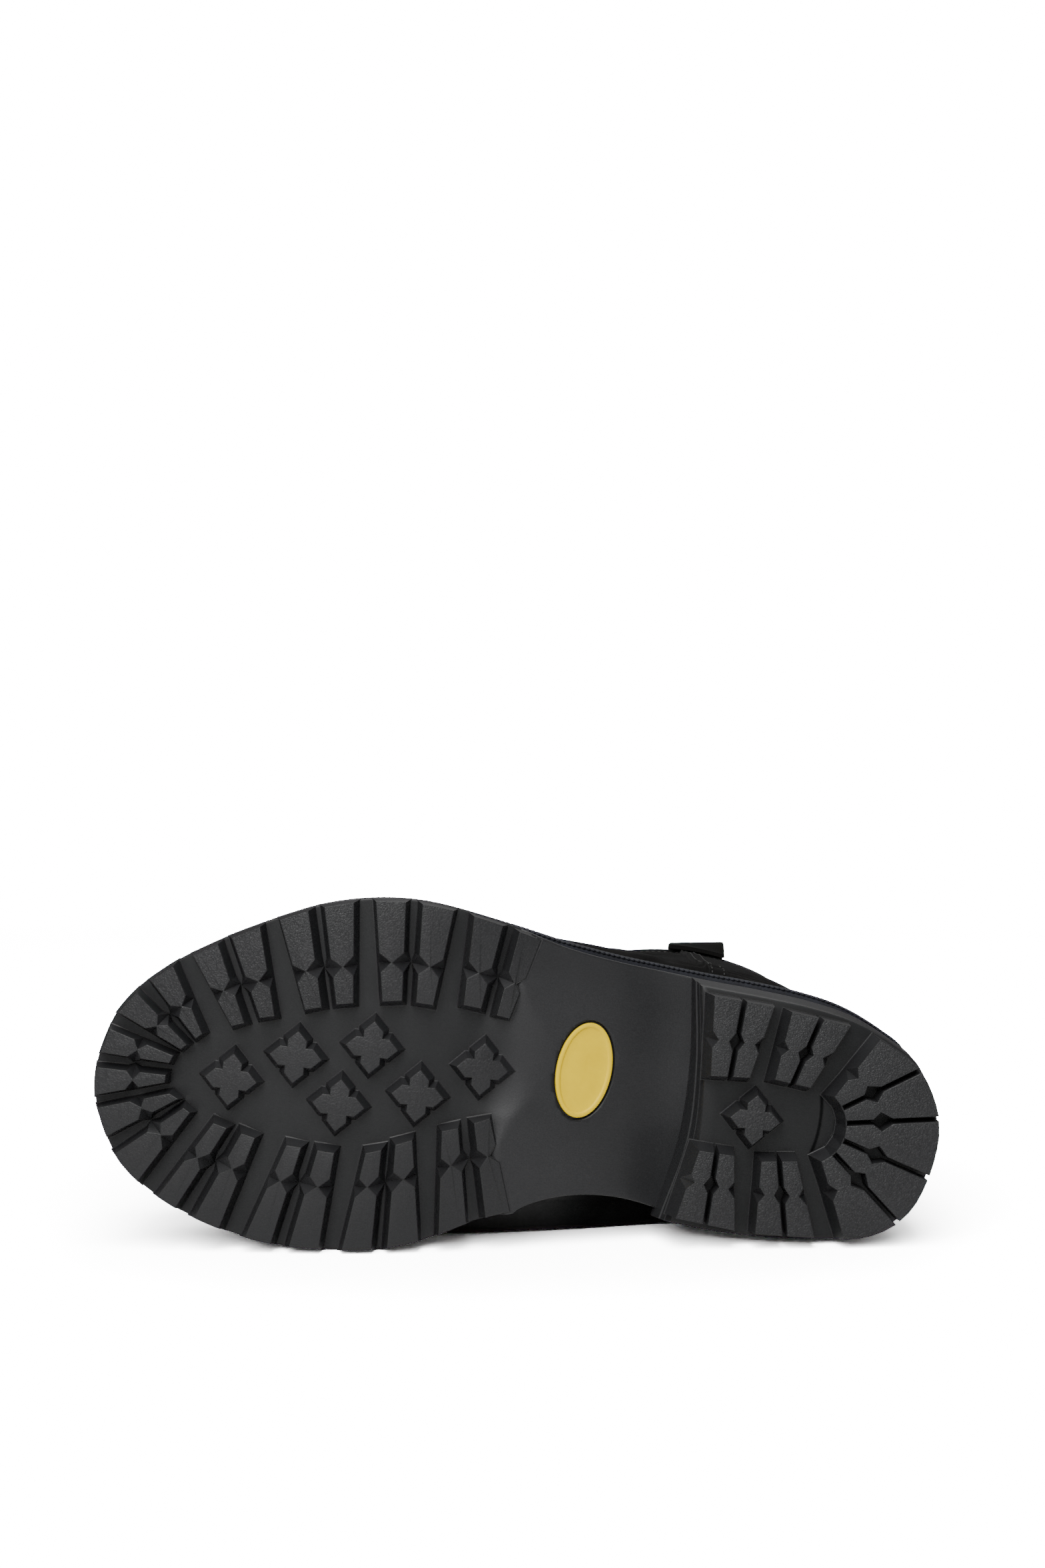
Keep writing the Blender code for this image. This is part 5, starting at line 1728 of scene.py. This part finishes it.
    def edges(self, x: Array, z: Array | float, back: Array | float) -> Arrays:
        """Inner and outer y of the outside: a rounded foot and an egg-shaped shaft, the wider wins.

        Args:
            x: places along the foot.
            z: heights.
            back: x of the upper's back at that height.

        Returns:
            Inner and outer y.
        """
        crest_x, crest_top, crest_middle = self.crest[-1]
        front, widest, shaft_in, shaft_out = (Table.of(self.shaft, k)(z) for k in range(1, 5))
        inner0, outer0 = OUTLINE.edges(np.maximum(x - back * np.maximum(0.0, 1 - x / 120.0), 0.01))
        low = LAST.bed(x) + WELT
        ahead = x > crest_x
        top = np.where(ahead, self.crest_table(1)(x), crest_top)
        s = np.clip((z - low) / (top - low), 0.0, 1.0)
        rounding = (1 - s ** self.cross_power) ** (1 / self.cross_power)
        middle = np.where(ahead, self.crest_table(2)(x), crest_middle)
        swell = ramp(z - low, *self.swell)
        bulge = Table.of(self.bulges, 1)(x)
        outer = middle + (outer0 + bulge * swell - self.waisted * (1 - swell) - middle) * rounding
        arch = ramp(x, *self.arch[:2]) * (1 - ramp(x, *self.arch[2:])) * ramp(z - low, -1.0, 6.0)
        inner0 = inner0 * (1 - arch) + self.arch_level * arch
        inner = middle + (inner0 - self.bulge_inner * swell + self.waisted * (1 - swell) - middle) * rounding
        half = np.where(x > widest, front - widest, widest - back)
        power = np.where(x > widest, self.shaft_power, self.back_power)
        r = np.minimum(np.abs(x - widest) / half, 1.0)
        reach = (1 - r ** power) ** (1 / power)
        centre = (shaft_in + shaft_out) / 2
        weight, high = ramp(z, *self.shaft_starts), ramp(z, *self.foot_ends)

        def both(foot: Array, shaft: Array, way: int) -> Array:
            """Foot low down, the wider of foot and shaft above it, the shaft alone at the top."""
            low_form, high_form = foot * (1 - high) + centre * high, centre + (shaft - centre) * reach
            wider = way * self.soft_max(way * high_form, way * low_form, self.blend)
            return foot * (1 - weight) + wider * weight

        return both(inner, shaft_in, -1), both(outer, shaft_out, 1)

    def surface(self) -> Arrays:
        """Outside grid, one ring of columns a slice, and its outward normals.

        Returns:
            Points and unit normals, rings by columns by 3.
        """
        rows = self.slice_rows()
        back = rows[:, 3:4]
        front = self.front(rows)[:, None]
        x0 = self.columns[None]
        middle = self.plain_to - self.lean * ramp(rows[:, 1:2], 50.0, 193.0)
        x = np.where(x0 <= self.plain_to, back + x0 * (middle - back) / self.plain_to,
                     middle + (front - middle) * (x0 - self.plain_to) / (self.span - self.plain_to))
        z = self.height(rows[:, None, :], x)
        inner_y, outer_y = self.edges(x, z, back)
        toe_y = self.crest_table(2)(front)
        heel = np.dstack([back, (inner_y[:, :1] + outer_y[:, :1]) / 2, self.height(rows[:, None, :], back)])
        toe = np.dstack([front, toe_y, self.height(rows[:, None, :], front)])
        sides = np.dstack([x, outer_y, z]), np.dstack([x, inner_y, z])[:, ::-1]
        grid = np.concatenate([self.foot_rows(), np.concatenate([heel, sides[0], toe, sides[1]], axis=1)])
        normals = self.normals_of(grid)
        grid = grid + normals * self.relief(grid)[..., None]
        grid[..., 1] += np.maximum(0.0, self.rest - LIE.to_world(grid)[..., 2] / MM)
        return grid, self.normals_of(grid)

    def foot_rows(self) -> Array:
        """Rings inside the welt, up to just over it.

        Returns:
            Four rings by columns by 3.
        """
        base = OUTLINE.inset(self.inset)
        low, high = base.points[:, 0].min(), base.points[:, 0].max()
        x = low + (high - low) * self.columns / self.span
        inner, outer = base.edges(x)
        tips = np.array([low, high])
        tip_y = base.edges(tips)[0]
        rings = []
        for rise in (0.0, WELT * 0.5, WELT - 0.4, WELT + 0.2):
            z, tip_z = LAST.bed(x) + rise, LAST.bed(tips) + rise
            rings.append(np.vstack([[low, tip_y[0], tip_z[0]], np.column_stack([x, outer, z]),
                                    [high, tip_y[1], tip_z[1]], np.column_stack([x, inner, z])[::-1]]))
        return np.stack(rings)

    @staticmethod
    def normals_of(grid: Array) -> Array:
        """Outward unit normals: the cross product of the steps along and between the rings, evened twice.

        Args:
            grid: rings by columns by 3.

        Returns:
            A normal for each point.
        """
        along = np.roll(grid, -1, axis=1) - np.roll(grid, 1, axis=1)
        normal = unit(np.cross(np.gradient(grid, axis=0), along))
        for _ in range(2):
            normal = unit(normal + np.roll(normal, 1, axis=1) + np.roll(normal, -1, axis=1))
        return normal

    def column_of(self) -> Arrays:
        """Standing x and side of every column of the grid."""
        x0 = np.concatenate([[0.0], self.columns, [self.span], self.columns[::-1]])
        count = len(self.columns)
        side = np.concatenate([[0], np.ones(count), [0], -np.ones(count)])
        return x0, side

    def relief(self, grid: Array) -> Array:
        """How far the leather stands out: strip, back counter, collar band, folds and puckers.

        Args:
            grid: rings by columns by 3.

        Returns:
            Millimetres at each point.
        """
        x, y, z = np.moveaxis(grid, 2, 0)
        x0, side = self.column_of()
        rise = z - LAST.bed(x) - WELT
        up = ramp(rise, 0.2, 2.0)
        strip = (ramp(x0, self.strip[0] - 0.35, self.strip[0] + 0.25)
                 * (1 - ramp(x0, self.strip[1] - 0.25, self.strip[1] + 0.35)) * (side > 0))
        bead = bell(x0, self.strip[1] - 0.5, 0.75) * (side > 0)
        out = (self.strip_step * strip + 0.75 * bead)[None] * up
        before = x0[None] + (z - self.counter_level) * self.counter_lean - self.counter_front
        over = z - self.counter_top + x * self.counter_fall
        out += self.counter_step * (1 - ramp(before, 0.0, 1.0)) * up * (1 - ramp(over, 0.0, 1.2))
        band = z - self.height(self.slice_rows()[-1], x) + self.collar_band
        out += self.collar_step * ramp(band, 0.0, 0.8) - 0.5 * bell(band, -0.2, 0.7)
        gathers = np.sin((x + y * 0.7) * 1.05 + 2 * np.sin(x * 0.13))
        out += self.pucker * np.exp(-np.maximum(rise, 0) / 3.0) * up * gathers
        for crease in self.creases:
            out += crease.relief(x, z) * (side[None] == crease.side.value)
        return out + self.sway * ripple(grid, 28.0, 60.0, 14, 7) * ramp(rise, 2.0, 14.0)

    def at(self, x0: Array, side: Side, row: Array) -> Arrays:
        """Points and normals of the outside at a standing x and a fractional ring.

        Args:
            x0: standing x of each place.
            side: side of the foot.
            row: ring number of each place.

        Returns:
            Points and unit normals.
        """
        columns = np.concatenate([[0.0], self.columns, [self.span]])
        at = np.interp(x0, columns, np.arange(len(columns)))
        count = self.outside.shape[1]
        col = at if side is Side.OUTER else (count - at) % count
        row = np.clip(row, 0, len(self.outside) - 1.001)
        c0, r0 = np.floor(col).astype(int), np.floor(row).astype(int)
        u, v = (col - c0)[:, None], (row - r0)[:, None]
        results = []
        for grid in (self.outside, self.normals):
            low = grid[r0, c0 % count] * (1 - u) + grid[r0, (c0 + 1) % count] * u
            high = grid[r0 + 1, c0 % count] * (1 - u) + grid[r0 + 1, (c0 + 1) % count] * u
            results.append(low * (1 - v) + high * v)
        return results[0], unit(results[1])

    def shell(self) -> Patch:
        """Outside, a rounded top edge and the inside of the wall."""
        inner = self.outside - self.normals * self.wall
        edge, normal = self.outside[-1], self.normals[-1]
        up = np.array([0.0, 0.0, 1.0])
        roll = [edge - normal * self.wall * (1 - math.cos(a)) / 2 + up * self.wall * 0.55 * math.sin(a)
                for a in np.linspace(0, math.pi, 9)[1:-1]]
        grid = np.concatenate([self.outside, np.stack(roll), inner[::-1]])
        shine = np.zeros(grid.shape[:2])
        shine[:len(self.outside)] = self.polish(self.outside)
        return grid_patch(grid, wrap_rows=True, grain=shine)

    def polish(self, grid: Array) -> Array:
        """Share of smooth leather at each point: low on the inner side, from the arch to the ball."""
        x, _, z = np.moveaxis(grid, 2, 0)
        low = 1 - ramp(z - LAST.seat(x) - WELT, 20.0, 42.0)
        return ramp(x, 122.0, 155.0) * (1 - ramp(x, 200.0, 240.0)) * low * (self.column_of()[1] < 0)[None]

    def thread_rows(self) -> list[Arrays]:
        """Paths and normals of the sewn rows: two on the strip, one at the collar, one on the counter.

        Returns:
            Points and unit normals of each row.
        """
        rings, steps = len(self.outside), 400
        foot, counter, collar = 6.0, 64.0, rings - 6.2
        row = np.linspace(foot, rings - 2, steps)
        strip = self.strip[0] + 1.5, self.strip[1] - 2.3
        paths = [self.at(np.full(steps, x0), Side.OUTER, row) for x0 in strip]
        row = np.linspace(foot, counter, steps)
        for side in Side:
            round_collar = np.linspace(0.0, self.span, 700)
            paths.append(self.at(round_collar, side, np.full(len(round_collar), collar)))
            x0 = np.full(steps, 20.0)
            for _ in range(6):
                points, _ = self.at(x0, side, row)
                x0 = self.counter_front - 1.8 - (points[:, 2] - self.counter_level) * self.counter_lean
            keep = points[:, 2] < self.counter_top - 1.4 - points[:, 0] * self.counter_fall
            paths.append(tuple(part[keep] for part in self.at(x0, side, row)))
        return paths

    def stitches(self, pitch: float = 2.6) -> Patch:
        """A capsule at every pitch along every sewn row, half sunk in the suede.

        Args:
            pitch: distance from stitch to stitch.

        Returns:
            All stitches as one patch.
        """
        places, frames = [], []
        for points, normals in self.thread_rows():
            length = travelled(points)
            s = np.arange(pitch, length[-1] - pitch, pitch)
            spot, ahead, normal = (placed(t, length, source)
                                   for t, source in ((s, points), (s + 0.4, points), (s, normals)))
            long = unit(ahead - spot)
            across = unit(np.cross(normal, long))
            places.append(spot + normal * 0.10)
            frames.append(np.stack([long, across, np.cross(long, across)], axis=1))
        return repeat_shape(capsule(1.75, 0.62, 0.55, 6, 4), np.vstack(places), np.vstack(frames))

    def lining(self) -> Patch:
        """Pile on the inside: an offset grid with curls, closed against the wall."""
        grid, normals = self.outside[2:-4], self.normals[2:-4]
        wall = grid - normals * (self.wall + 0.1)
        curl = ripple(wall, 3.2, 7.0, 40, 3) * 0.55 + ripple(wall, 1.8, 3.0, 40, 4) * 0.25
        row, last = np.arange(len(grid)), len(grid) - 1
        ends = ramp(row, 0, 3) * (1 - ramp(row, last - 4, last))
        pile = wall - normals * ((2.4 + curl) * ends[:, None])[..., None]
        return grid_patch(np.concatenate([wall, pile[::-1]]), wrap_rows=True)

    def build(self) -> list[Piece]:
        """Make the shell, its sewing and the lining."""
        return [Piece("upper_suede", [self.shell()]), Piece("upper_stitches", [self.stitches()], sharp=80),
                Piece("upper_lining", [self.lining()], sharp=80)]


@dataclass
class Footbed:
    """Pile-covered insole: a thin crowned slab between the upper's walls."""

    inset: float = 9.05
    thick: float = 4.0
    crown: float = 1.6
    curl: float = 0.4
    top_rings: int = 46

    def patch(self) -> Patch:
        """Underside and top as fans; the top is crowned by a quarter sine and curled."""
        ring = OUTLINE.inset(self.inset).ring(130)
        low = LAST.bed(ring[:, 0])
        rows = [at_height(part, LAST.bed(part[:, 0])) for part in fan(ring, 5)[::-1]]
        rows += [at_height(ring, low + self.thick * rise) for rise in (0.3, 0.6, 0.85)]
        for t, part in zip(np.linspace(0, 1, self.top_rings), fan(ring, self.top_rings)):
            top = LAST.bed(part[:, 0]) + self.thick + self.crown * math.sin(math.pi * t / 2) - 0.6
            points = at_height(part, top)
            points[:, 2] += ripple(points, 3.0, 7.0, 40, 9) * self.curl * min(1.0, t * 8)
            rows.append(points)
        return grid_patch(np.stack(rows))

    def build(self) -> Piece:
        """Make the insole."""
        return Piece("insole_pile", [self.patch()], sharp=80)


@dataclass
class PullLoop:
    """Webbing loop over the collar on the outer side."""

    ends: Pair = (53.8, 78.3)
    thick: float = 1.7
    flat: float = 93.5
    low: float = 178.0
    top: float = 204.0
    inside_low: float = 168.0
    clear: float = 0.7
    lean: float = -0.11

    def line(self, upper: Upper, x: Array) -> Array:
        """Middle line of the strap at each x, from low outside over the collar to low inside.

        Args:
            upper: the upper that it is sewn to.
            x: places across the strap.

        Returns:
            Points, x by steps by 3.
        """

        def wall(z: float) -> Array:
            """Outside of the upper at one height."""
            return upper.edges(x, min(z, 193.0), upper.rows[-1][3])[1]

        edge = wall(190.0)
        low = upper.strip_step + self.clear
        bulge = np.maximum(self.flat, edge + low + 0.6).max()
        inside = edge - upper.wall - 3.0
        knots = [(wall(self.low) + low, self.low), (wall(182.5) + low + 0.3, 182.5),
                 (np.maximum(bulge - 0.8, wall(186.5) + low + 0.4), 186.5), (bulge, 191.0),
                 (bulge - 0.8, 197.0), (edge + 1.2, 201.2), (edge - 1.8, self.top), (inside + 0.6, 200.0),
                 (inside - 0.2, 193.0), (wall(182.0) - upper.wall - 3.2, 182.0),
                 (wall(self.inside_low) - upper.wall - 3.2, self.inside_low)]
        table = np.stack([np.stack(np.broadcast_arrays(y, z, x)[:2], axis=1).reshape(-1) for y, z in knots])
        curve = smooth_curve(table, 8).reshape(-1, len(x), 2).transpose(1, 0, 2)
        across = x[:, None] + self.lean * (curve[..., 1] - self.low)
        return np.dstack([across, curve])

    def patch(self, upper: Upper) -> Patch:
        """A flat tape with rounded edges: an oblong carried along the middle line.

        Args:
            upper: the upper that it is sewn to.

        Returns:
            The closed tape.
        """
        u = np.sin(np.linspace(-math.pi / 2, math.pi / 2, 26))
        x = self.ends[0] + (self.ends[1] - self.ends[0]) * (u + 1) / 2
        line = self.line(upper, x)
        tangent = unit(np.gradient(line, axis=1))
        normal = np.cross(np.broadcast_to([1.0, 0.0, 0.0], tangent.shape), tangent)
        normal *= np.sign(normal[:, :1, 1:2])
        round_edge = np.clip(1 - ((np.abs(u) - 0.9) / 0.1).clip(0) ** 2, 0, 1) ** 0.5
        half = self.thick / 2 * np.maximum(round_edge, 0.15)[:, None, None]
        middle = line + normal * self.thick / 2
        over, under = middle + normal * half, middle - normal * half
        return capped(np.concatenate([over, under[::-1]]).transpose(1, 0, 2))

    def build(self, upper: Upper) -> Piece:
        """Make the loop."""
        return Piece("pull_loop_tape", [self.patch(upper)], sharp=60)


# ==== studio

@dataclass
class Studio:
    """Floor, light and camera."""

    distance: float = 0.769
    height: float = 0.1655
    yaw: float = 3.0
    lens: float = 50.0
    floor_reach: float = 2.4
    white: float = 18.0
    # the floor's colour boost for camera rays: overexposed near the boot, overexposed_away further off; the
    # lower boost near the boot is painted shade
    overexposed: float = 8.0
    overexposed_away: float = 22.0
    brightens: Pair = (0.12, 0.42)
    fades: Pair = (0.28, 0.95)
    fill: float = 0.12

    def camera(self) -> None:
        """A level camera that faces the sole, turned a little towards the heel."""
        a = math.radians(self.yaw)
        ahead = Vector((math.sin(a), math.cos(a), 0.0))
        data = bpy.data.cameras.new("camera")
        data.lens = self.lens
        obj = placed_object("camera", data)
        obj.location = Vector((0.00035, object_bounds()[0].y, self.height)) - ahead * self.distance
        obj.rotation_euler = (math.pi / 2, 0.0, -a)
        bpy.context.scene.camera = obj

    def lamp(self, name: str, place: tuple[float, float, float], size: float, watts: float) -> None:
        """A square soft light that faces the boot.

        Args:
            name: its name.
            place: where it stands, in metres.
            size: its side, in metres.
            watts: its power.
        """
        data = bpy.data.lights.new(name, "AREA")
        data.size, data.energy = size, watts
        obj = placed_object(name, data)
        obj.location = place
        obj.rotation_euler = (Vector((0.0, -0.03, 0.06)) - Vector(place)).to_track_quat("-Z", "Y").to_euler()

    def floor(self) -> None:
        """An overexposed white floor that fades into the surroundings well away from the boot; its colour is
        painted darker near the boot, a painted shade round it.
        """
        bpy.ops.mesh.primitive_circle_add(vertices=64, radius=self.floor_reach, fill_type="NGON")
        obj = bpy.context.object
        obj.name = "floor"
        s = Shader("floor_white")
        length = s.node("ShaderNodeVectorMath", {"operation": "LENGTH"}, {0: s.place()})
        away = Wire(s, length.outputs["Value"])
        seen = Wire(s, s.node("ShaderNodeLightPath").outputs["Is Camera Ray"])
        # painted shade round the boot: the floor's colour for camera rays is lower near the boot
        glow = self.overexposed + (self.overexposed_away - self.overexposed) * away.step(*self.brightens)
        obj.data.materials.append(s.finish(
            Base_Color=0.8 + (glow - 0.8) * seen, Roughness=0.9, Specular_IOR_Level=0.0,
            Alpha=1 - away.step(*(self.floor_reach * share for share in self.fades))))
        obj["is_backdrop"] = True

    def surroundings(self) -> None:
        """White all round to look at, and a weak fill as light."""
        world = bpy.data.worlds.new("studio")
        world.use_nodes = True
        tree = world.node_tree
        shown, fill = tree.nodes["Background"], tree.nodes.new("ShaderNodeBackground")
        for light, strength in ((shown, self.white), (fill, self.fill)):
            light.inputs["Color"].default_value = (1.0, 1.0, 1.0, 1.0)
            light.inputs["Strength"].default_value = strength
        mix, ray = tree.nodes.new("ShaderNodeMixShader"), tree.nodes.new("ShaderNodeLightPath")
        tree.links.new(ray.outputs["Is Camera Ray"], mix.inputs["Fac"])
        tree.links.new(fill.outputs[0], mix.inputs[1])
        tree.links.new(shown.outputs[0], mix.inputs[2])
        tree.links.new(mix.outputs[0], tree.nodes["World Output"].inputs["Surface"])
        bpy.context.scene.world = world

    def build(self) -> None:
        """Make all of it."""
        self.camera()
        self.floor()
        self.surroundings()
        self.lamp("front_above", (-0.42, -1.40, 1.05), 1.2, 37.0)
        self.lamp("overhead", (-0.10, -0.60, 1.40), 0.9, 20.0)
        self.lamp("behind", (0.35, 0.95, 1.55), 1.2, 12.0)


def main() -> None:
    """Build the boot piece by piece, then the studio."""
    logging.basicConfig(level=logging.INFO, format="%(name)s %(message)s")
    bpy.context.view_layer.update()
    Studio().build()
    rubber = MouldedRubber("moulded_rubber")
    badge = Badge()
    # painted light: the base's rubber is a lighter copy of the tread's, so the shank, which faces away from
    # the lamps, is painted lighter; its floor between the lugs gets a stronger painted shade
    smooth = MouldedRubber("smooth_rubber_painted_light", low=(0.0105, 0.0106, 0.0113, 1.0),
                           high=(0.0190, 0.0191, 0.0203, 1.0), hollow_shade=0.58)
    # painted shade: the heel's floor between its lugs is painted darker than the forefoot's
    heel_rubber_painted_shade = MouldedRubber("heel_rubber_painted_shade", hollow_shade=0.5)
    for piece, finish in zip(Outsole().build(badge), (smooth, heel_rubber_painted_shade, rubber)):
        piece.dress(finish, "outsole")
    badge.build().dress(ColouredRubber("badge_rubber"), "sole_badge")
    midsole = SoleSlab(lambda p: LAST.split(p[:, 0]) + CLEAR / 2, lambda p: LAST.seat(p[:, 0]), round_low=0.3,
                       round_high=0.5, draw=(0.6, 1.0), grooves=(0.82,))
    foam = MouldedRubber("foam_rubber", roughness=0.6)
    Piece("midsole_foam", [midsole.patch()]).dress(foam, "midsole")
    yarn = Thread("braid_yarn", low=(0.0036, 0.0039, 0.0058, 1.0), high=(0.0110, 0.0122, 0.0185, 1.0))
    for piece in Braid().build():
        piece.dress(yarn, "welt_braid")
    upper = Upper()
    shell, sewing, lining = upper.build()
    shell.dress(Suede("black_suede"), "upper")
    thread = Thread("black_thread", low=(0.007, 0.007, 0.007, 1.0), high=(0.026, 0.026, 0.026, 1.0))
    sewing.dress(thread, "upper", replaces=False)
    lining.dress(Fleece("charcoal_pile"), "insole", replaces=False)
    Footbed().build().dress(Fleece("insole_pile"), "insole")
    PullLoop().build(upper).dress(Webbing("black_webbing"), "pull_loop")


if __name__ == "__main__":
    main()
